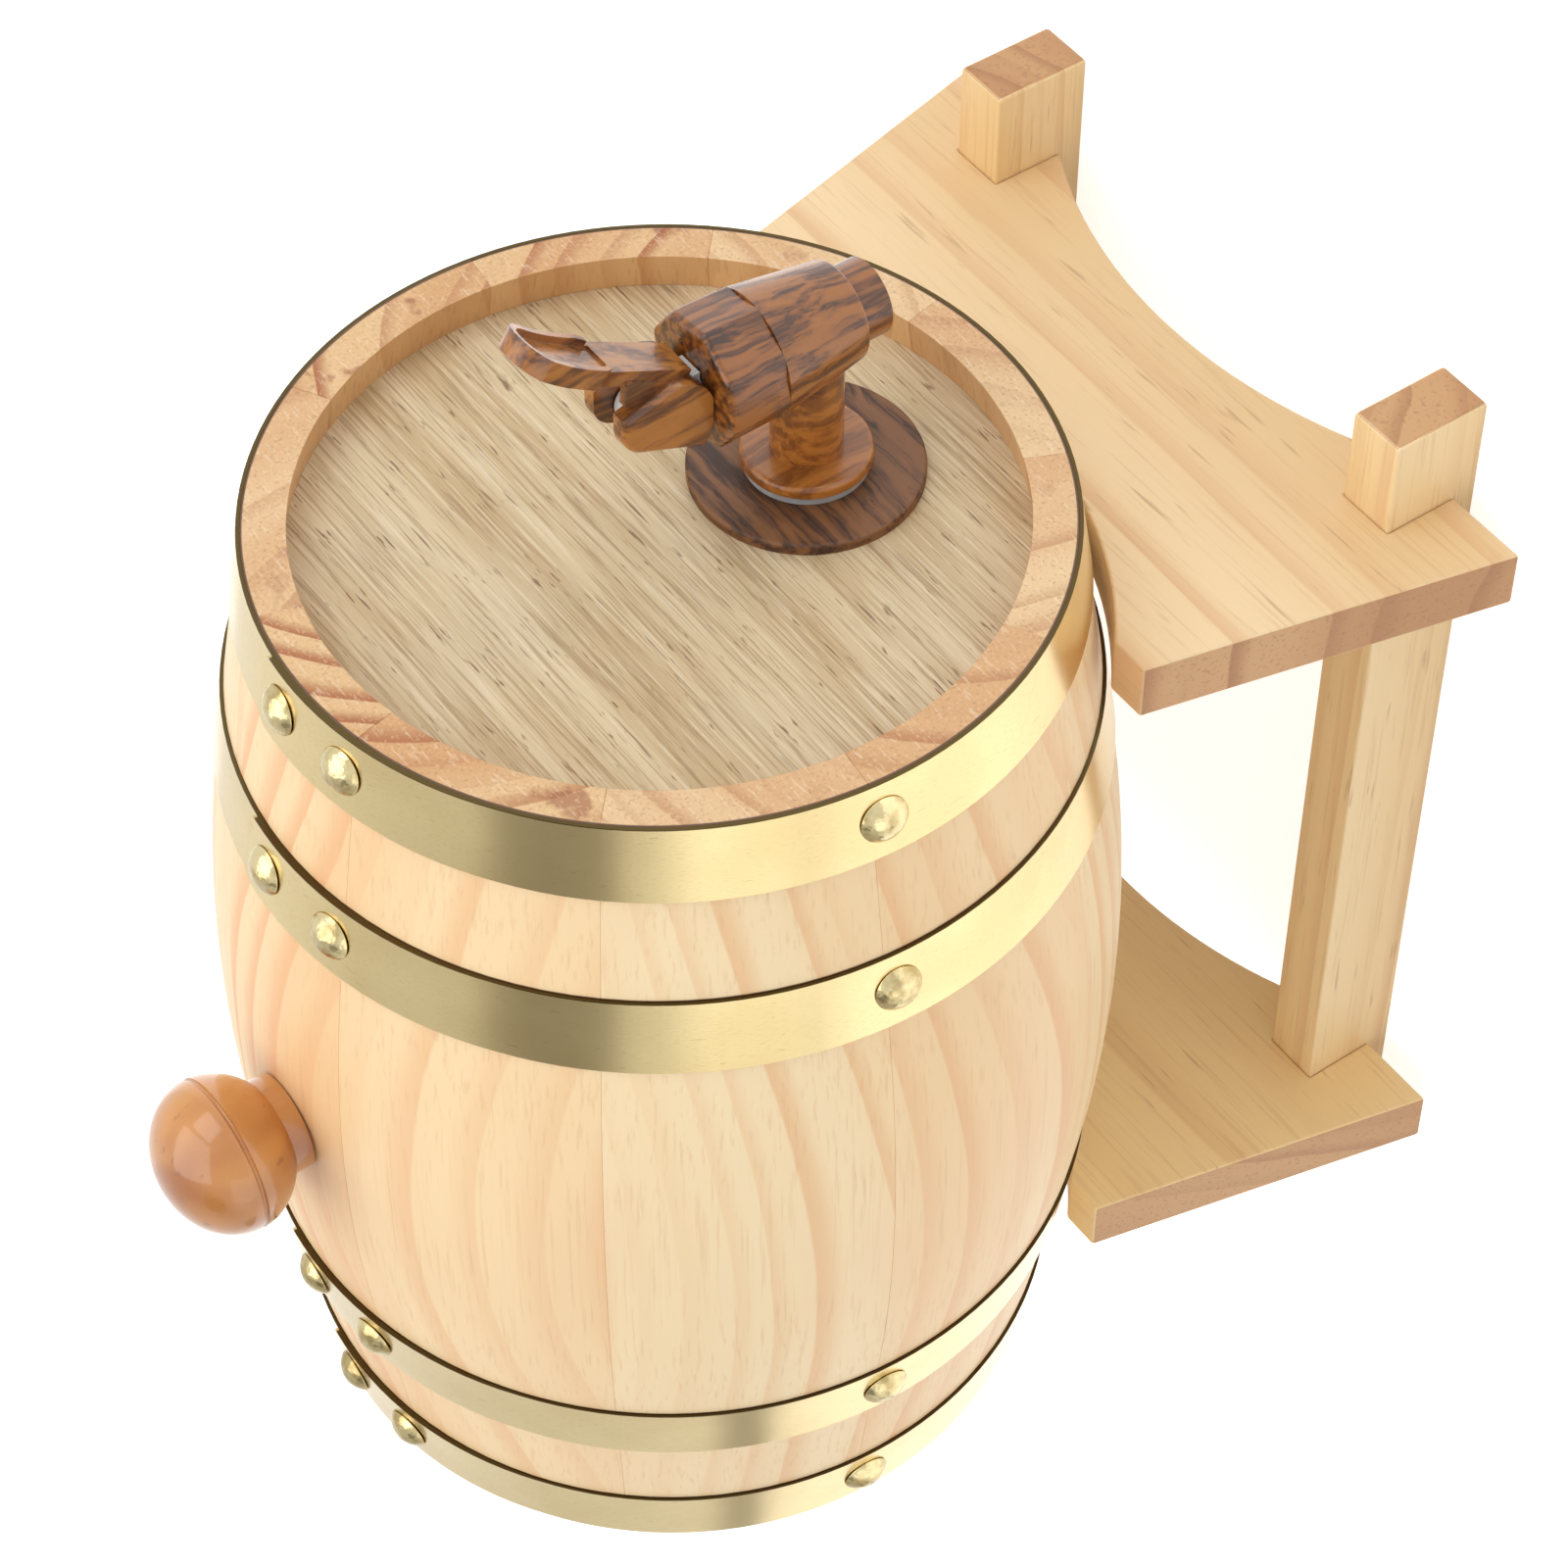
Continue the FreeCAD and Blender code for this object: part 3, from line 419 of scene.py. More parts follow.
class Finish:
    """A material under construction: its graph, its object coordinates and its shader."""

    def __init__(self, name: str, **fixed: object) -> None:
        """Starts the material.

        Args:
            name: Name of the material.
            fixed: Values of the shader's own sockets, with underscores for spaces.
        """
        self.material = bpy.data.materials.new(name)
        self.material.use_nodes = True
        self.graph = Graph(self.material.node_tree)
        nodes = self.material.node_tree.nodes
        self.shader = nodes["Principled BSDF"]
        self.graph.feed(self.shader, spaced(fixed))
        self.place = self.graph.add("ShaderNodeTexCoord").outputs["Object"]

    def group(self, tree: Tree, **inputs: object) -> Node:
        """Places a shared effect with its own values."""
        return self.graph.add("ShaderNodeGroup", spaced(inputs), node_tree=tree)

    def set(self, socket: str, value: Socket) -> None:
        """Joins a value that changes over the surface to the shader."""
        self.graph.feed(self.shader, {socket: value})

    def bump(self, height: Socket, strength: float, distance: float) -> None:
        """Feeds a Bump node into the shader's normal."""
        node = self.graph.add("ShaderNodeBump", {"Strength": strength, "Distance": distance,
                                                 "Height": height})
        self.set("Normal", node.outputs[0])


class Recipe:
    """A kind of material, which each subclass paints in its own way."""

    def make(self, effects: Effects) -> bpy.types.Material:
        """Builds the material.

        Args:
            effects: The shared node groups.

        Returns:
            The finished material.
        """
        return self._paint(effects).material

    def _paint(self, effects: Effects) -> Finish:
        """Paints the material."""
        raise NotImplementedError


@dataclass(frozen=True)
class Tone:
    """A colour of a pale board, and how much less of each channel a fully warm one has."""

    colour: Colour
    drop: Colour


@dataclass(frozen=True)
class StavePine(Recipe):
    """Pale pine of one stave, turned from its own board, with warm end grain on the rim."""

    number: int
    middle: float
    pith_turn: float
    pith_reach: float
    spacing: float
    warmth: float
    tilt: float
    wander: float = 5.0 * MM
    seed_step: float = 1.7
    fineness: float = 1300.0
    stretch: float = 0.02
    fibre_relief: float = 0.7
    late_relief: float = 0.3
    fibre_rough: float = 0.14
    least_rough: float = 0.4

    # Places on the stave
    recess: float = 9.0 * MM
    recess_soft: float = 0.2 * MM
    rim_inset: float = 1.2 * MM
    rim_soft: float = 0.4 * MM
    sawn_steps: Step = (0.12 * MM, 0.04 * MM)
    # Painted shade lines on the wood in front of the hoops and round the rim, and their colour
    shade_front: Step = (0.4 * MM, 0.1 * MM)
    shade_back: Step = (-0.6 * MM, -0.3 * MM)
    rim_shade: Step = (0.55 * MM, 0.3 * MM)
    rim_shade_end: Step = (0.2 * MM, 0.1 * MM)
    shade_colour: Colour = (92, 58, 30)

    # Long grain
    side_pale: Tone = Tone((249, 229, 188), (4, 15, 22))
    side_tan: Tone = Tone((245, 217, 170), (4, 16, 20))
    side_steps: Step = (0.35, 0.66)
    side_late: Tone = Tone((233, 184, 130), (0, 12, 12))
    side_late_share: float = 0.72
    side_cloud: Noise = Noise(34.0, 3.0, stretch=(1, 0.35, 1))
    side_clouds: Layer = Layer((240, 200, 156), 0.35, (0.46, 0.74))
    side_hairs: Layer = Layer((222, 176, 124), 0.34, (0.52, 0.72))
    side_pores: Layer = Layer((188, 138, 92), 0.16)

    # Wall between the rim and the head
    wall: Blend = Blend((222, 178, 124), (206, 156, 102), (0.35, 0.7))
    wall_late: Layer = Layer((190, 128, 76), 0.6)
    wall_hairs: Layer = Layer((172, 118, 74), 0.35, (0.5, 0.7))

    # End grain; the late wood and the streaks also show more on a warm board
    end_pale: Tone = Tone((234, 203, 158), (10, 18, 24))
    end_tan: Tone = Tone((220, 178, 130), (12, 20, 24))
    end_steps: Step = (0.36, 0.6)
    end_late: Layer = Layer((168, 97, 48), 0.3)
    end_late_warm: float = 0.7
    streak: Noise = Noise(95.0, 3.0, 0.6, (1, 0, 1))
    streak_steps: Step = (0.58, 0.66)
    streak_warm: float = 0.7
    streak_colour: Colour = (146, 72, 36)
    brush: Noise = Noise(240.0, stretch=(1, 0, 6))
    brushed: Layer = Layer((242, 218, 184), 0.4, (0.56, 0.68))
    speck: Noise = Noise(1500.0)
    dark_specks: Layer = Layer((166, 118, 76), 0.4, (0.56, 0.68))
    pale_specks: Layer = Layer((240, 214, 178), 0.3, (0.42, 0.32))

    def _paint(self, effects: Effects) -> Finish:
        """Paints the long grain, the end grain, the bare wall and the painted shade lines at the
        hoops and the rim.
        """
        finish = Finish("stave_pine_%02d" % self.number, Roughness=0.5, Coat_Weight=0.15,
                        Coat_Roughness=0.25)
        graph = finish.graph
        round_ = finish.group(effects.round, Vector=finish.place)
        rings = self._rings(finish, effects)
        fibre = finish.group(effects.fibre, Vector=finish.place, Fineness=self.fineness,
                             Stretch=self.stretch)
        along = graph.math("ABSOLUTE", round_.outputs["Along"])
        end = SIZES.half_length
        inner = SIZES.radius(end) - self.rim_inset
        bare = graph.math("MULTIPLY",
                          graph.ramp(along, end - self.recess - self.recess_soft,
                                     end - self.recess),
                          graph.ramp(round_.outputs["Out"], inner, inner - self.rim_soft))
        sawn = graph.ramp(along, *(end - step for step in self.sawn_steps))
        colour = graph.mix(bare, self._side(finish, rings, fibre),
                           self._recess(graph, rings, fibre))
        colour = graph.mix(sawn, colour, self._end(finish, rings))
        # Painted shade: dark lines where the hoops and the rim meet the wood
        colour = graph.mix(self._painted_shade(graph, round_), colour, linear(*self.shade_colour))
        finish.set("Base Color", colour)
        hair = fibre.outputs["Fibre"]
        late = graph.math("MULTIPLY", rings.outputs["Late wood"], self.late_relief)
        finish.bump(graph.math("MULTIPLY_ADD", hair, self.fibre_relief, late),
                    strength=0.2, distance=0.2 * MM)
        finish.set("Roughness",
                   graph.math("MULTIPLY_ADD", hair, self.fibre_rough, self.least_rough))
        return finish

    def _warmed(self, tone: Tone) -> tuple[float, float, float, float]:
        """Scene colour of this board: the tone less the share of its drop."""
        return linear(*(full - int(less * self.warmth)
                        for full, less in zip(tone.colour, tone.drop)))

    def _rings(self, finish: Finish, effects: Effects) -> Node:
        """Growth rings of the board that the stave was turned from."""
        graph = finish.graph
        pith = math.radians(self.middle + self.pith_turn)
        out = math.radians(self.middle)
        x, y, z = graph.separate(finish.place)
        lean = graph.math("MULTIPLY", graph.math("SUBTRACT", y, SIZES.axis_y), self.tilt)
        place = graph.combine(graph.math("MULTIPLY_ADD", lean, math.sin(out), x), y,
                              graph.math("MULTIPLY_ADD", lean, math.cos(out), z))
        return finish.group(effects.rings, Vector=place,
                            Pith_X=math.sin(pith) * self.pith_reach,
                            Pith_Z=SIZES.axis_z + math.cos(pith) * self.pith_reach,
                            Spacing=self.spacing, Wander=self.wander,
                            Seed=self.number * self.seed_step)

    def _side(self, finish: Finish, rings: Node, fibre: Node) -> Socket:
        """Cream long grain with salmon rings, fine fibres and a few resin flecks."""
        graph = finish.graph
        side = graph.mix(graph.ramp(rings.outputs["Board tone"], *self.side_steps),
                         self._warmed(self.side_pale), self._warmed(self.side_tan))
        late = graph.math("MULTIPLY", rings.outputs["Late wood"], self.side_late_share)
        side = graph.mix(late, side, self._warmed(self.side_late))
        side = graph.layer(side, graph.noise(finish.place, self.side_cloud), self.side_clouds)
        side = graph.layer(side, fibre.outputs["Fibre"], self.side_hairs)
        return graph.layer(side, fibre.outputs["Pore"], self.side_pores)

    def _recess(self, graph: Graph, rings: Node, fibre: Node) -> Socket:
        """Tan long grain of the bare wall between the rim and the head."""
        wall = graph.blend(rings.outputs["Board tone"], self.wall)
        wall = graph.layer(wall, rings.outputs["Late wood"], self.wall_late)
        return graph.layer(wall, fibre.outputs["Fibre"], self.wall_hairs)

    def _end(self, finish: Finish, rings: Node) -> Socket:
        """End grain of the rim: tan and orange with red brown streaks and sawn specks."""
        graph = finish.graph
        late = Layer(self.end_late.colour, self.end_late.share + self.end_late_warm * self.warmth)
        streaks = Layer(self.streak_colour, self.streak_warm * self.warmth, self.streak_steps)
        end = graph.mix(graph.ramp(rings.outputs["Board tone"], *self.end_steps),
                        self._warmed(self.end_pale), self._warmed(self.end_tan))
        end = graph.layer(end, rings.outputs["Late wood"], late)
        end = graph.layer(end, graph.noise(finish.place, self.streak), streaks)
        end = graph.layer(end, graph.noise(finish.place, self.brush), self.brushed)
        specks = graph.noise(finish.place, self.speck)
        end = graph.layer(end, specks, self.dark_specks)
        return graph.layer(end, specks, self.pale_specks)

    def _painted_shade(self, graph: Graph, round_: Node) -> Socket:
        """Painted shade: a dark line on the wood along the front edge of each hoop, and round the
        front rim, where the gap under the hoop lies in shadow.
        """
        along = round_.outputs["Along"]
        lines = [graph.band(graph.math("SUBTRACT", front, along), self.shade_front, self.shade_back)
                 for front in SIZES.hoop_fronts[1:]]
        edge = SIZES.radius(SIZES.half_length)
        rim = graph.ramp(round_.outputs["Out"], *(edge - step for step in self.rim_shade))
        is_end = graph.ramp(along, *(step - SIZES.half_length for step in self.rim_shade_end))
        return graph.highest([*lines, graph.math("MULTIPLY", rim, is_end)])


@dataclass(frozen=True)
class Streaks:
    """A mask drawn out along X: its stretch, its layer of the noise, the noise, its steps."""

    stretch: float
    layer: float
    noise: Noise
    steps: Step


@dataclass(frozen=True)
class HeadPanel(Recipe):
    """Grey tan panel wood with long fine grain and open pores across it."""

    fineness: float = 2100.0
    stretch: float = 0.022
    wave: Noise = Noise(22.0, 1.0)
    wave_stretch: float = 0.3
    wave_depth: float = 6.0 * MM
    bands: Streaks = Streaks(0.03, 0.0, Noise(85.0, 2.0, 0.6), (0.38, 0.64))
    lines: Streaks = Streaks(0.03, 0.0, Noise(620.0, 5.0, 0.7), (0.52, 0.64))
    line_breaks: Streaks = Streaks(0.5, 1.0, Noise(120.0, 3.0), (0.36, 0.6))
    rays: Streaks = Streaks(0.09, 0.0, Noise(1500.0), (0.6, 0.66))
    ray_breaks: Streaks = Streaks(0.8, 3.0, Noise(150.0), (0.5, 0.6))
    pale: Colour = (222, 201, 163)
    tan: Colour = (199, 173, 131)
    cloud: Noise = Noise(26.0, 3.0)
    clouds: Layer = Layer((214, 198, 168), 0.4, (0.4, 0.66))
    line_layer: Layer = Layer((146, 112, 76), 0.42)
    dark_hairs: Layer = Layer((158, 124, 84), 0.5, (0.53, 0.62))
    pale_hairs: Layer = Layer((240, 226, 198), 0.5, (0.44, 0.34))
    pores: Layer = Layer((104, 72, 46), 0.75)
    ray_layer: Layer = Layer((118, 84, 54), 0.8)
    line_relief: float = 0.8

    def _paint(self, effects: Effects) -> Finish:
        """Paints the bands, lines, rays, hairs and pores."""
        finish = Finish("head_panel_wood", Roughness=0.62)
        graph = finish.graph
        fibre = finish.group(effects.fibre, Vector=graph.mapping(finish.place, Axis.ALONG_X.value),
                             Fineness=self.fineness, Stretch=self.stretch)
        hair = fibre.outputs["Fibre"]
        x, _, z = graph.separate(finish.place)
        wave = graph.combine(graph.math("MULTIPLY", x, self.wave_stretch), 0.0, z)
        height = graph.math("MULTIPLY_ADD", graph.noise(wave, self.wave), self.wave_depth, z)

        def mask(streaks: Streaks) -> Socket:
            """Mask of one kind of streaks on the waved grain."""
            place = graph.combine(graph.math("MULTIPLY", x, streaks.stretch), streaks.layer,
                                  height)
            return graph.ramp(graph.noise(place, streaks.noise), *streaks.steps)

        lines = graph.math("MULTIPLY", mask(self.lines), mask(self.line_breaks))
        rays = graph.math("MULTIPLY", mask(self.rays), mask(self.ray_breaks))
        colour = graph.mix(mask(self.bands), linear(*self.pale), linear(*self.tan))
        colour = graph.layer(colour, graph.noise(finish.place, self.cloud), self.clouds)
        colour = graph.layer(colour, lines, self.line_layer)
        colour = graph.layer(colour, hair, self.dark_hairs)
        colour = graph.layer(colour, hair, self.pale_hairs)
        colour = graph.layer(colour, fibre.outputs["Pore"], self.pores)
        finish.set("Base Color", graph.layer(colour, rays, self.ray_layer))
        relief = graph.math("SUBTRACT", hair, graph.math("MULTIPLY", lines, self.line_relief))
        finish.bump(relief, strength=0.4, distance=0.3 * MM)
        return finish


@dataclass(frozen=True)
class BrushedBrass(Recipe):
    """Brass strip with brush lines round the cask and a dark front edge."""

    edge_near: Step = (0.24 * MM, 0.12 * MM)
    edge_far: Step = (-2.0 * MM, -1.0 * MM)
    edge_colour: Colour = (84, 70, 42)
    brush: Noise = Noise(5200.0, 3.0, 0.6)
    brush_stretch: float = 0.01
    cloud: Noise = Noise(38.0, 3.0)
    scuff: Noise = Noise(300.0, stretch=(1, 5, 1))
    tones: Blend = Blend((233, 212, 160), (224, 201, 148), (0.35, 0.7))
    brush_lines: Layer = Layer((188, 166, 116), 0.25, (0.48, 0.72))
    scuffs: Layer = Layer((146, 124, 84), 0.25, (0.68, 0.76))
    brush_rough: float = 0.1
    least_rough: float = 0.15

    def _paint(self, effects: Effects) -> Finish:
        """Paints the brush lines, the scuffs and the dark edge."""
        finish = Finish("hoop_brass", Metallic=1.0, Roughness=0.3, Anisotropic=0.3)
        graph = finish.graph
        round_ = finish.group(effects.round, Vector=finish.place)
        along = round_.outputs["Along"]
        turn = graph.math("MULTIPLY", round_.outputs["Angle"], self.brush_stretch)
        brush = graph.noise(graph.combine(turn, along, 0.0), self.brush)
        colour = graph.blend(graph.noise(finish.place, self.cloud), self.tones)
        colour = graph.layer(colour, brush, self.brush_lines)
        colour = graph.layer(colour, graph.noise(finish.place, self.scuff), self.scuffs)
        edge = graph.highest([graph.band(graph.math("SUBTRACT", along, front), self.edge_near,
                                         self.edge_far)
                              for front in SIZES.hoop_fronts])
        finish.set("Base Color", graph.mix(edge, colour, linear(*self.edge_colour)))
        finish.set("Roughness",
                   graph.math("MULTIPLY_ADD", brush, self.brush_rough, self.least_rough))
        finish.bump(brush, strength=0.02, distance=0.1 * MM)
        return finish


@dataclass(frozen=True)
class DomedBrass(Recipe):
    """Bright brass of the nail heads, a little hammered."""

    dent: Noise = Noise(430.0)
    tone: Noise = Noise(260.0, 3.0)
    tones: Blend = Blend((222, 206, 158), (172, 150, 100), (0.35, 0.7))
    tone_rough: float = 0.22
    least_rough: float = 0.1

    def _paint(self, effects: Effects) -> Finish:
        """Paints the tones and the dents."""
        finish = Finish("nail_brass", Metallic=1.0, Roughness=0.22)
        graph = finish.graph
        tone = graph.noise(finish.place, self.tone)
        finish.set("Base Color", graph.blend(tone, self.tones))
        finish.set("Roughness",
                   graph.math("MULTIPLY_ADD", tone, self.tone_rough, self.least_rough))
        finish.bump(graph.noise(finish.place, self.dent), strength=0.32, distance=0.9 * MM)
        return finish


@dataclass(frozen=True)
class Varnished(Recipe):
    """Glossy varnished beech of the turned bung."""

    fineness: float = 900.0
    stretch: float = 0.05
    tone: Noise = Noise(1.0, stretch=(60, 60, 12))
    tones: Blend = Blend((206, 140, 66), (166, 98, 38), (0.35, 0.68))
    pores: Layer = Layer((138, 78, 32), 0.55)

    def _paint(self, effects: Effects) -> Finish:
        """Paints the tones and the pores."""
        finish = Finish("varnished_beech", Roughness=0.32, Coat_Weight=1.0, Coat_Roughness=0.08)
        graph = finish.graph
        fibre = finish.group(effects.fibre, Vector=graph.mapping(finish.place, Axis.ALONG_Z.value),
                             Fineness=self.fineness, Stretch=self.stretch)
        colour = graph.blend(graph.noise(finish.place, self.tone), self.tones)
        finish.set("Base Color", graph.layer(colour, fibre.outputs["Pore"], self.pores))
        finish.bump(fibre.outputs["Fibre"], strength=0.12, distance=0.2 * MM)
        return finish


@dataclass(frozen=True)
class PatternedPlastic(Recipe):
    """Gloss plastic with a printed wood pattern, paler from one place along Y if asked."""

    name: str
    axis: Axis
    streaks: float = 470.0
    light: Colour = (160, 98, 38)
    middle: Colour = (126, 73, 28)
    deep: Colour = (70, 38, 18)
    rough: float = 0.26
    coat: float = 0.3
    streak_rough: float = 0.1
    pale_from: float | None = None
    pale_soft: float = 1.0 * MM
    pale_light: Colour = (180, 114, 46)
    pale_middle: Colour = (152, 90, 34)
    pale_share: float = 0.55
    bend: float = 4.0 * MM

    def _paint(self, effects: Effects) -> Finish:
        """Paints the printed film."""
        finish = Finish(self.name, Roughness=self.rough, Coat_Weight=self.coat,
                        Coat_Roughness=0.1)
        graph = finish.graph
        turned = graph.mapping(finish.place, self.axis.value)
        film = finish.group(effects.print, Vector=turned, Streaks=self.streaks, Bend=self.bend)
        streak = film.outputs["Dark"]
        dark = streak
        warm = graph.mix(film.outputs["Warm"], linear(*self.light), linear(*self.middle))
        if self.pale_from is not None:
            y = graph.separate(finish.place)[1]
            pale = graph.ramp(y, self.pale_from - self.pale_soft, self.pale_from + self.pale_soft)
            kept = graph.math("MULTIPLY_ADD", pale, -self.pale_share, 1.0)
            dark = graph.math("MULTIPLY", dark, kept)
            warm = graph.mix(pale, warm, graph.mix(film.outputs["Warm"],
                                                   linear(*self.pale_light),
                                                   linear(*self.pale_middle)))
        finish.set("Base Color", graph.mix(dark, warm, linear(*self.deep)))
        finish.set("Roughness", graph.math("MULTIPLY_ADD", streak, self.streak_rough, self.rough))
        finish.bump(streak, strength=0.08, distance=0.2 * MM)
        return finish


@dataclass(frozen=True)
class PlainMoulded(Recipe):
    """Plain moulded white plastic or grey silicone."""

    name: str
    colour: Colour
    rough: float
    mottle: Noise = Noise(420.0, 3.0)
    mottle_steps: Step = (0.4, 0.65)
    dimming: float = 0.93

    def _paint(self, effects: Effects) -> Finish:
        """Paints a faint mottle."""
        finish = Finish(self.name, Roughness=self.rough)
        mottle = finish.graph.noise(finish.place, self.mottle)
        dim = tuple(int(part * self.dimming) for part in self.colour)
        finish.set("Base Color",
                   finish.graph.blend(mottle, Blend(self.colour, dim, self.mottle_steps)))
        finish.bump(mottle, strength=0.05, distance=0.2 * MM)
        return finish


@dataclass(frozen=True)
class StandPine(Recipe):
    """Pine of the cradle: growth lines along X or Y and darker end grain."""

    name: str
    axis: Axis
    pith: tuple[float, float]
    spacing: float
    seed: float
    lift: int = 0
    wander: float = 12.0 * MM
    fineness: float = 1200.0
    stretch: float = 0.03
    end_facing: Step = (0.75, 0.9)
    side: Blend = Blend((242, 214, 170), (233, 200, 150), (0.35, 0.7))
    side_late: Layer = Layer((216, 160, 110), 0.5)
    side_hairs: Layer = Layer((206, 160, 112), 0.3, (0.52, 0.72))
    side_pores: Layer = Layer((160, 112, 70), 0.4)
    end: Blend = Blend((206, 160, 112), (188, 138, 92), (0.4, 0.6))
    end_late: Layer = Layer((158, 104, 64), 0.7)
    speck: Noise = Noise(1300.0)
    end_specks: Layer = Layer((150, 104, 66), 0.4, (0.55, 0.7))

    def _paint(self, effects: Effects) -> Finish:
        """Paints the long grain and the end grain."""
        finish = Finish(self.name, Roughness=0.5, Coat_Weight=0.1, Coat_Roughness=0.3)
        graph = finish.graph
        turned = graph.mapping(finish.place, self.axis.value)
        rings = finish.group(effects.rings, Vector=turned, Pith_X=self.pith[0],
                             Pith_Z=self.pith[1], Spacing=self.spacing, Wander=self.wander,
                             Seed=self.seed)
        fibre = finish.group(effects.fibre, Vector=turned, Fineness=self.fineness,
                             Stretch=self.stretch)
        normal = graph.add("ShaderNodeNewGeometry").outputs["Normal"]
        facing = graph.separate(graph.mapping(normal, self.axis.value))[1]
        is_end = graph.ramp(graph.math("ABSOLUTE", facing), *self.end_facing)
        finish.set("Base Color", graph.mix(is_end, self._side(graph, rings, fibre),
                                           self._end(finish, rings)))
        finish.bump(fibre.outputs["Fibre"], strength=0.25, distance=0.2 * MM)
        return finish

    def _lifted(self, colour: Colour) -> Colour:
        """Colour of this board, with its red and green lifted."""
        red, green, blue = colour
        return red + self.lift, green + self.lift, blue

    def _side(self, graph: Graph, rings: Node, fibre: Node) -> Socket:
        """Pale long grain of the boards and rails."""
        tones = Blend(self._lifted(self.side.first), self._lifted(self.side.second),
                      self.side.steps)
        side = graph.blend(rings.outputs["Board tone"], tones)
        side = graph.layer(side, rings.outputs["Late wood"], self.side_late)
        side = graph.layer(side, fibre.outputs["Fibre"], self.side_hairs)
        return graph.layer(side, fibre.outputs["Pore"], self.side_pores)

    def _end(self, finish: Finish, rings: Node) -> Socket:
        """Darker end grain with sawn specks."""
        graph = finish.graph
        end = graph.blend(rings.outputs["Board tone"], self.end)
        end = graph.layer(end, rings.outputs["Late wood"], self.end_late)
        return graph.layer(end, graph.noise(finish.place, self.speck), self.end_specks)


# Mesh helpers

def add_object(name: str, bm: bmesh.types.BMesh, sharp: float = 35.0) -> bpy.types.Object:
    """Turns a bmesh into an object with smooth faces and sharp creases.

    Args:
        name: Name of the object.
        bm: The finished bmesh, which is freed.
        sharp: Angle in degrees from which an edge stays sharp.

    Returns:
        The new object, linked to the scene.
    """
    limit = math.radians(sharp)
    for face in bm.faces:
        face.smooth = True
    for edge in bm.edges:
        edge.smooth = len(edge.link_faces) == 2 and edge.calc_face_angle(0.0) < limit
    mesh = bpy.data.meshes.new(name)
    bm.to_mesh(mesh)
    bm.free()
    obj = bpy.data.objects.new(name, mesh)
    bpy.context.scene.collection.objects.link(obj)
    return obj


def eased_copy(node: str, body: str, ease: float, sharp: float = 32.0,
               segments: int = 2) -> bpy.types.Object:
    """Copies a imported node, merges it and eases its edges.

    Args:
        node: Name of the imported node.
        body: Name of the body that it rides on.
        ease: Width of the eased edge in metres, 0 for none.
        sharp: Angle in degrees from which an edge is eased.
        segments: Segments of the eased edge.

    Returns:
        The new object, which stands for the node.
    """
    bm = bmesh.new()
    bm.from_mesh(FRAME["nodes"][node].data)
    bmesh.ops.remove_doubles(bm, verts=bm.verts, dist=MERGE_DISTANCE)
    bmesh.ops.dissolve_degenerate(bm, edges=bm.edges, dist=SHORTEST_EDGE)
    bmesh.ops.dissolve_limit(bm, angle_limit=FLAT_ANGLE, verts=bm.verts, edges=bm.edges,
                             delimit={"NORMAL"})
    obj = add_object(node + "_dressed", bm, sharp)
    if ease > 0:
        bevel = obj.modifiers.new("eased_edges", "BEVEL")
        bevel.width = ease
        bevel.segments = segments
        bevel.limit_method = "ANGLE"
        bevel.angle_limit = math.radians(sharp)
        bevel.harden_normals = True
        bevel.use_clamp_overlap = True
    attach(obj, body)
    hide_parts(node)
    return obj


def dress(obj: bpy.types.Object, material: bpy.types.Material) -> None:
    """Gives an object its one material."""
    obj.data.materials.append(material)


@dataclass
class CaskBody:
    """Staves, heads, hoops, nails and the bung."""

    effects: Effects
    first_joint: float = -11.5
    stave_angle: float = 36.0
    stave_ease: float = 0.15 * MM
    hoop_ease: float = 0.15 * MM
    nail_ease: float = 0.3 * MM
    nail_sharp: float = 50.0
    bung_ease: float = 0.2 * MM
    bung_sharp: float = 40.0
    pith_turn: tuple[float, ...] = (70, -58, 64, 50, -70, 60, -52, -48, -60, 56)
    pith_reach: tuple[float, ...] = (46, 52, 40, 58, 44, 50, 62, 48, 54, 42)
    ring_spacing: tuple[float, ...] = (5.6, 7.0, 5.2, 6.2, 5.8, 7.4, 6.0, 6.6, 5.0, 6.4)
    board_tilt: tuple[float, ...] = (0.02, -0.03, 0.04, 0.0, 0.03, -0.04, 0.02, 0.05, 0.07, -0.01)
    board_warmth: tuple[float, ...] = (1.0, 0.4, 1.0, 1.0, 0.5, 0.4, 0.3, 0.5, 0.2, 0.9)

    def build(self) -> None:
        """Builds and dresses every piece of the cask."""
        self._staves()
        self._heads()
        self._hoops()
        LOG.info("cask body done")

    def _staves(self) -> None:
        """Dresses the staves, each with its own board of pine."""
        boards = zip(self.pith_turn, self.pith_reach, self.ring_spacing, self.board_warmth,
                     self.board_tilt)
        for number, (turn, reach, spacing, warmth, tilt) in enumerate(boards, 1):
            middle = self.first_joint + self.stave_angle * (number - 0.5)
            pine = StavePine(number, middle, turn, reach * MM, spacing * MM, warmth, tilt)
            obj = eased_copy("stave_%02d" % number, "cask", self.stave_ease)
            dress(obj, pine.make(self.effects))
            LOG.info("stave %s", number)

    def _heads(self) -> None:
        """Dresses the two round panels."""
        panel = HeadPanel().make(self.effects)
        for node in ("front_head", "rear_head"):
            dress(eased_copy(node, "cask", 0.0), panel)

    def _hoops(self) -> None:
        """Dresses the hoops, the nails and the bung."""
        brass = BrushedBrass().make(self.effects)
        nails = DomedBrass().make(self.effects)
        for place in ("front_chime", "front_quarter", "rear_quarter", "rear_chime"):
            dress(eased_copy(place + "_hoop", "cask", self.hoop_ease), brass)
            dress(eased_copy(place + "_nails", "cask", self.nail_ease, self.nail_sharp), nails)
        dress(eased_copy("bung", "bung", self.bung_ease, self.bung_sharp),
              Varnished().make(self.effects))


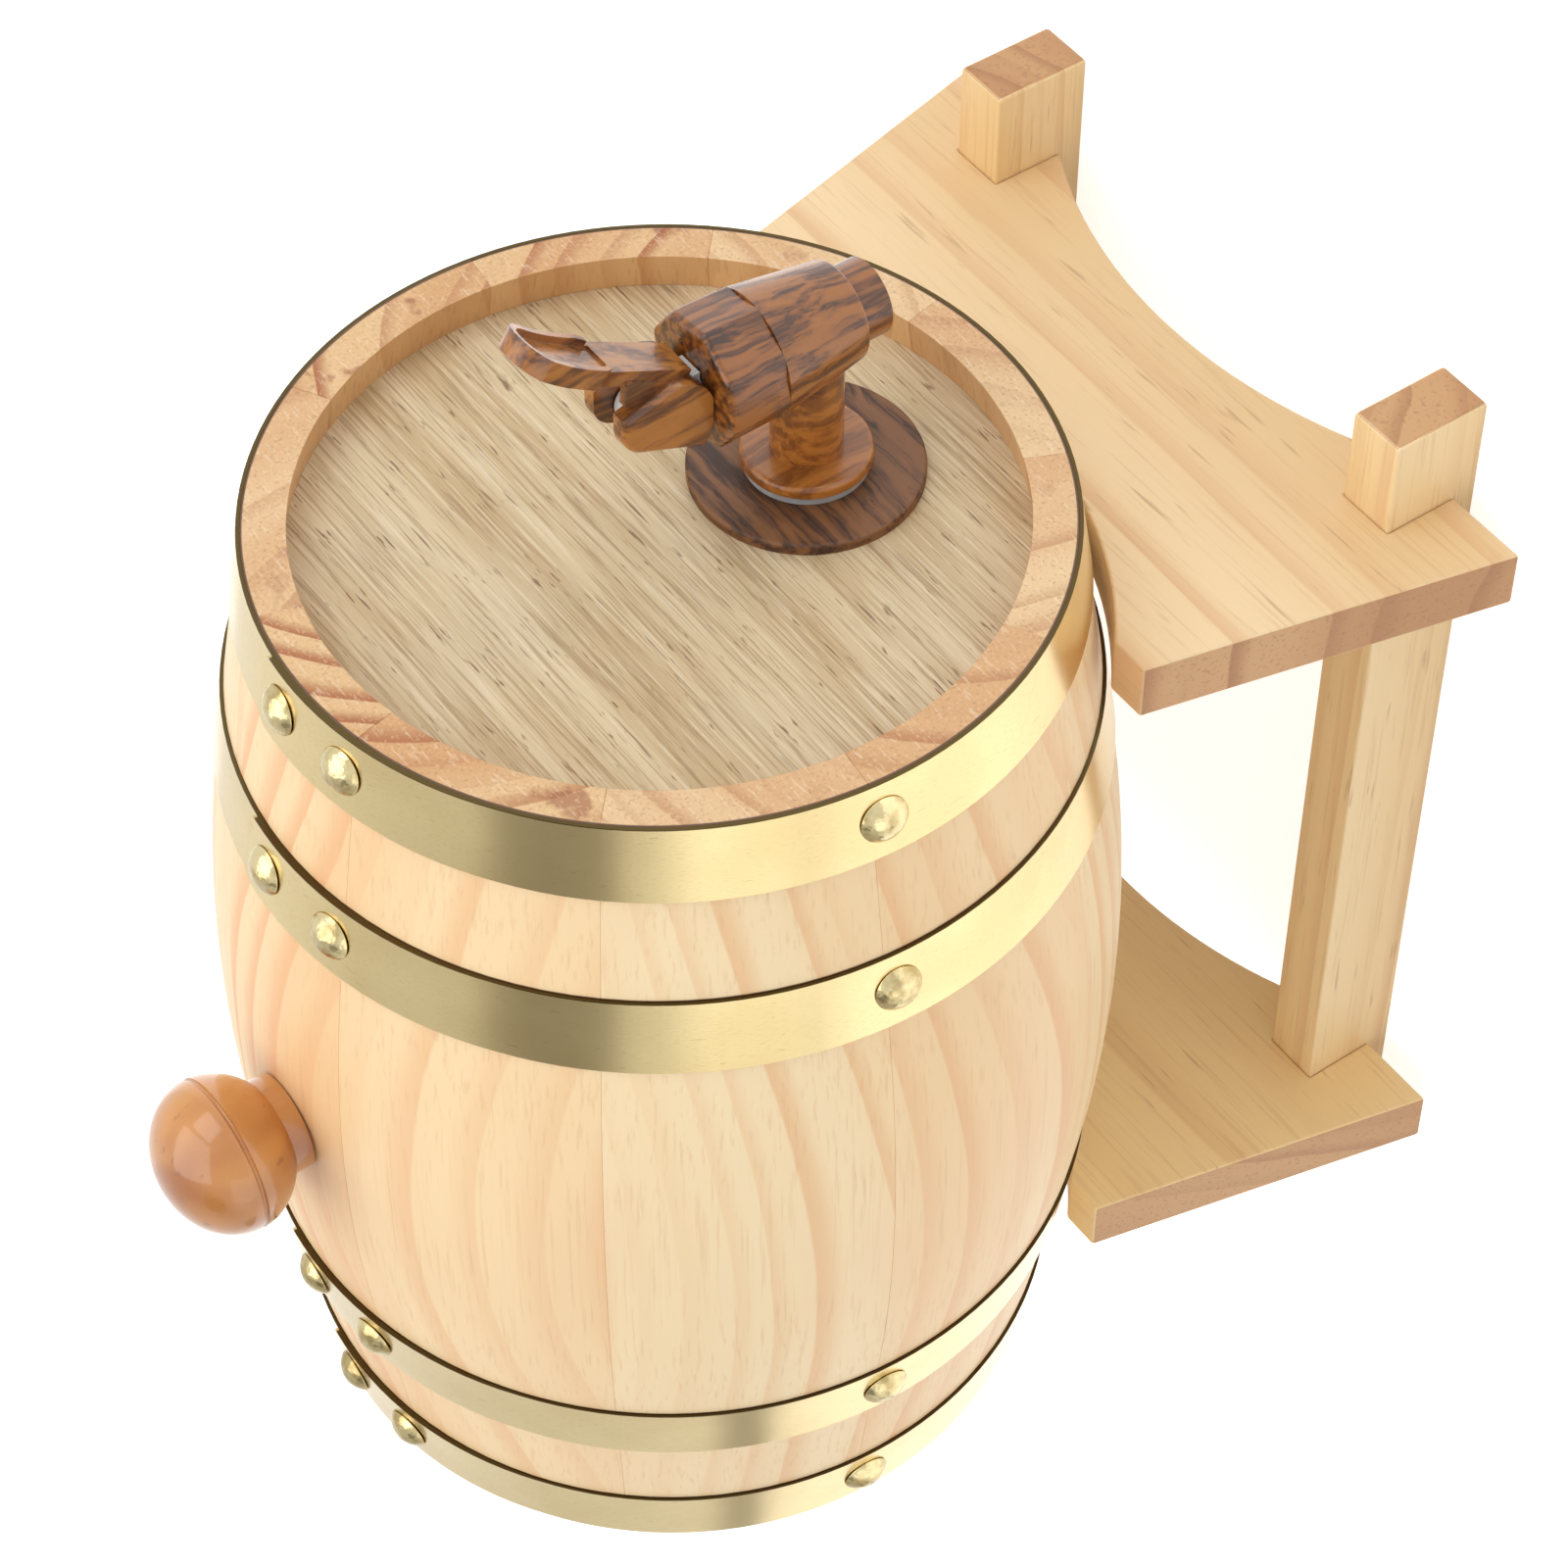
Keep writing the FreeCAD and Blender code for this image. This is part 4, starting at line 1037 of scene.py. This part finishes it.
@dataclass
class Tap:
    """Plate, washer, body, cap, stem and lever."""

    effects: Effects
    neck_start: float = 11.0 * MM
    ring_ease: float = 0.2 * MM
    body_ease: float = 0.1 * MM
    stem_ease: float = 0.25 * MM
    lever_ease: float = 0.5 * MM
    lever_sharp: float = 40.0

    def build(self) -> None:
        """Builds and dresses every piece of the tap."""
        white = PlainMoulded("white_stem", (226, 228, 228), 0.35).make(self.effects)
        self._rings(white)
        self._body()
        self._lever(white)
        LOG.info("tap done")

    def _rings(self, white: bpy.types.Material) -> None:
        """Dresses the plate, the rings, the seat cup and the nut."""
        plate = PatternedPlastic("plate_pattern", Axis.ALONG_X, 420.0, (128, 84, 48),
                                 (102, 64, 36), (60, 37, 23), 0.5, 0.0).make(self.effects)
        grey = PlainMoulded("grey_silicone", (168, 170, 170), 0.5).make(self.effects)
        dress(eased_copy("tap_escutcheon", "cask", 0.0), plate)
        for node, ease in (("tap_washer", self.ring_ease), ("tap_gasket", self.ring_ease),
                           ("tap_seat_cup", 0.0)):
            dress(eased_copy(node, "cask", ease), grey)
        dress(eased_copy("tap_lock_nut", "cask", self.ring_ease), white)

    def _body(self) -> None:
        """Dresses the body and the cap."""
        upright = PatternedPlastic("tap_pattern", Axis.ALONG_Z,
                                   pale_from=SIZES.spout_y + self.neck_start).make(self.effects)
        capped = PatternedPlastic("cap_pattern", Axis.ALONG_Z, 560.0, (152, 92, 38),
                                  (112, 64, 27), (56, 30, 16)).make(self.effects)
        dress(eased_copy("tap_body", "cask", self.body_ease), upright)
        dress(eased_copy("tap_cap", "cask", self.body_ease), capped)

    def _lever(self, white: bpy.types.Material) -> None:
        """Dresses the white stem and the lever."""
        lever = PatternedPlastic("lever_pattern", Axis.ALONG_Z, 260.0, (174, 112, 50),
                                 (144, 86, 36), (86, 48, 22)).make(self.effects)
        dress(eased_copy("tap_stem", "stem", self.stem_ease), white)
        dress(eased_copy("tap_lever", "lever", self.lever_ease, self.lever_sharp, 3), lever)


@dataclass
class Cradle:
    """Two boards and two rails."""

    effects: Effects
    ease: float = 0.6 * MM

    def build(self) -> None:
        """Builds and dresses the cradle."""
        front = StandPine("front_board_pine", Axis.ALONG_X, (0.02, -0.12), 9.0 * MM, 2.0)
        rear = StandPine("rear_board_pine", Axis.ALONG_X, (0.3, -0.1), 8.0 * MM, 5.0, lift=10)
        rail = StandPine("rail_pine", Axis.ALONG_Y, (0.02, 0.09), 5.0 * MM, 8.0, lift=5)
        rail_pine = rail.make(self.effects)
        for node, pine in (("front_cradle", front.make(self.effects)),
                           ("rear_cradle", rear.make(self.effects)),
                           ("left_rail", rail_pine), ("right_rail", rail_pine)):
            dress(eased_copy(node, "stand", self.ease), pine)
        LOG.info("cradle done")


@dataclass(frozen=True)
class Lamp:
    """A square area lamp: its name, place, size and power."""

    name: str
    place: Place
    size: float
    power: float


@dataclass(frozen=True)
class Card:
    """A round card in the surroundings: its direction, and the cosines of its soft edge."""

    aim: Place
    low: float
    high: float


@dataclass
class Studio:
    """Floor, world, lamps and the camera at the photograph's angle."""

    camera_place: Place = (-468.20 * MM, -648.53 * MM, 445.82 * MM)
    camera_right: Place = (-0.5842, -0.0029, -0.8116)
    camera_down: Place = (-0.6117, 0.6588, 0.4379)
    camera_forward: Place = (0.5334, 0.7523, -0.3867)
    focal_pixels: float = 4770.6
    image_pixels: float = 1600.0
    sensor_width: float = 36.0
    floor_half: float = 6.0
    floor_grey: float = 0.86
    floor_glow: float = 0.68
    sky_light: float = 0.66
    lamp_aim: Place = (0, 0, 0.12)
    lamps: tuple[Lamp, ...] = (Lamp("top_box", (0.1, -0.3, 1.3), 1.2, 6.5),
                               Lamp("front_box", (0.3, -1.4, 0.8), 1.0, 5.5),
                               Lamp("side_box", (-1.4, 0.2, 0.6), 1.0, 2.0))
    dark_cards: tuple[Card, ...] = (Card((-0.42, 0.52, 0.75), 0.955, 0.985),
                                    Card((-0.38, 0.9, -0.05), 0.975, 0.988))
    haze: Card = Card((-0.2, 0.7, 0.75), 0.6, 1.0)
    haze_share: float = 0.42
    dusk_colour: Place = (0.3, 0.29, 0.26)
    glare: Card = Card((-0.83, 0.5, 0.24), 0.955, 0.99)
    glare_colour: Place = (1.2, 1.2, 1.18)

    def build(self) -> None:
        """Builds the surroundings."""
        self._floor()
        self._world()
        for lamp in self.lamps:
            self._lamp(lamp)
        self._camera()

    def _floor(self) -> None:
        """White floor that the camera sees nearly white, with the object's shadow."""
        bm = bmesh.new()
        bmesh.ops.create_grid(bm, x_segments=1, y_segments=1, size=self.floor_half)
        floor = add_object("floor", bm)
        finish = Finish("floor_white", Roughness=0.9, Base_Color=(*[self.floor_grey] * 3, 1),
                        Emission_Strength=1.0)
        graph = finish.graph
        path = graph.add("ShaderNodeLightPath")
        seen = graph.math("MAXIMUM", path.outputs["Is Camera Ray"], path.outputs["Is Glossy Ray"])
        finish.set("Emission Color", graph.mix(seen, BLACK, (*[self.floor_glow] * 3, 1)))
        floor.data.materials.append(finish.material)

    def _world(self) -> None:
        """White surroundings, with dark and bright cards that only the metal and gloss see."""
        world = bpy.data.worlds.new("studio")
        bpy.context.scene.world = world
        world.use_nodes = True
        graph = Graph(world.node_tree)
        path = graph.add("ShaderNodeLightPath")
        way = graph.add("ShaderNodeTexCoord").outputs["Generated"]
        haze = graph.math("MULTIPLY", self._card(graph, way, self.haze), self.haze_share)
        dusk = graph.highest([*(self._card(graph, way, card) for card in self.dark_cards), haze])
        metal = graph.mix(dusk, WHITE, (*self.dusk_colour, 1))
        metal = graph.mix(self._card(graph, way, self.glare), metal, (*self.glare_colour, 1))
        soft = graph.mix(path.outputs["Is Diffuse Ray"], metal, (*[self.sky_light] * 3, 1))
        seen = graph.mix(path.outputs["Is Camera Ray"], soft, WHITE)
        graph.feed(world.node_tree.nodes["Background"], {"Color": seen, "Strength": 1.0})

    def _card(self, graph: Graph, way: Socket, card: Card) -> Socket:
        """Mask of a card in the surroundings."""
        aim = tuple(Vector(card.aim).normalized())
        dot = graph.add("ShaderNodeVectorMath", {0: way, 1: aim}, operation="DOT_PRODUCT")
        return graph.ramp(dot.outputs["Value"], card.low, card.high)

    def _lamp(self, lamp: Lamp) -> None:
        """Adds a large soft lamp that faces the cask."""
        data = bpy.data.lights.new(lamp.name, "AREA")
        data.shape = "SQUARE"
        data.size = lamp.size
        data.energy = lamp.power
        obj = bpy.data.objects.new(lamp.name, data)
        bpy.context.scene.collection.objects.link(obj)
        obj.location = lamp.place
        aim = Vector(self.lamp_aim) - Vector(lamp.place)
        obj.rotation_euler = aim.to_track_quat("-Z", "Y").to_euler()

    def _camera(self) -> None:
        """Camera from the fit to the hoops, rails and boards of the photograph."""
        data = bpy.data.cameras.new("camera")
        data.sensor_fit = "HORIZONTAL"
        data.sensor_width = self.sensor_width
        data.lens = self.focal_pixels / self.image_pixels * self.sensor_width
        camera = bpy.data.objects.new("camera", data)
        bpy.context.scene.collection.objects.link(camera)
        columns = (Vector(self.camera_right), -Vector(self.camera_down),
                   -Vector(self.camera_forward))
        turn = Matrix(columns).transposed().to_4x4()
        camera.matrix_world = Matrix.Translation(Vector(self.camera_place)) @ turn
        bpy.context.scene.camera = camera


def main() -> None:
    """Builds the cask, its tap, its cradle and the studio."""
    logging.basicConfig(level=logging.INFO)
    FRAME.update(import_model())
    bpy.context.scene.view_settings.view_transform = "Standard"
    effects = Effects()
    CaskBody(effects).build()
    Tap(effects).build()
    Cradle(effects).build()
    Studio().build()


if __name__ == "__main__":
    main()
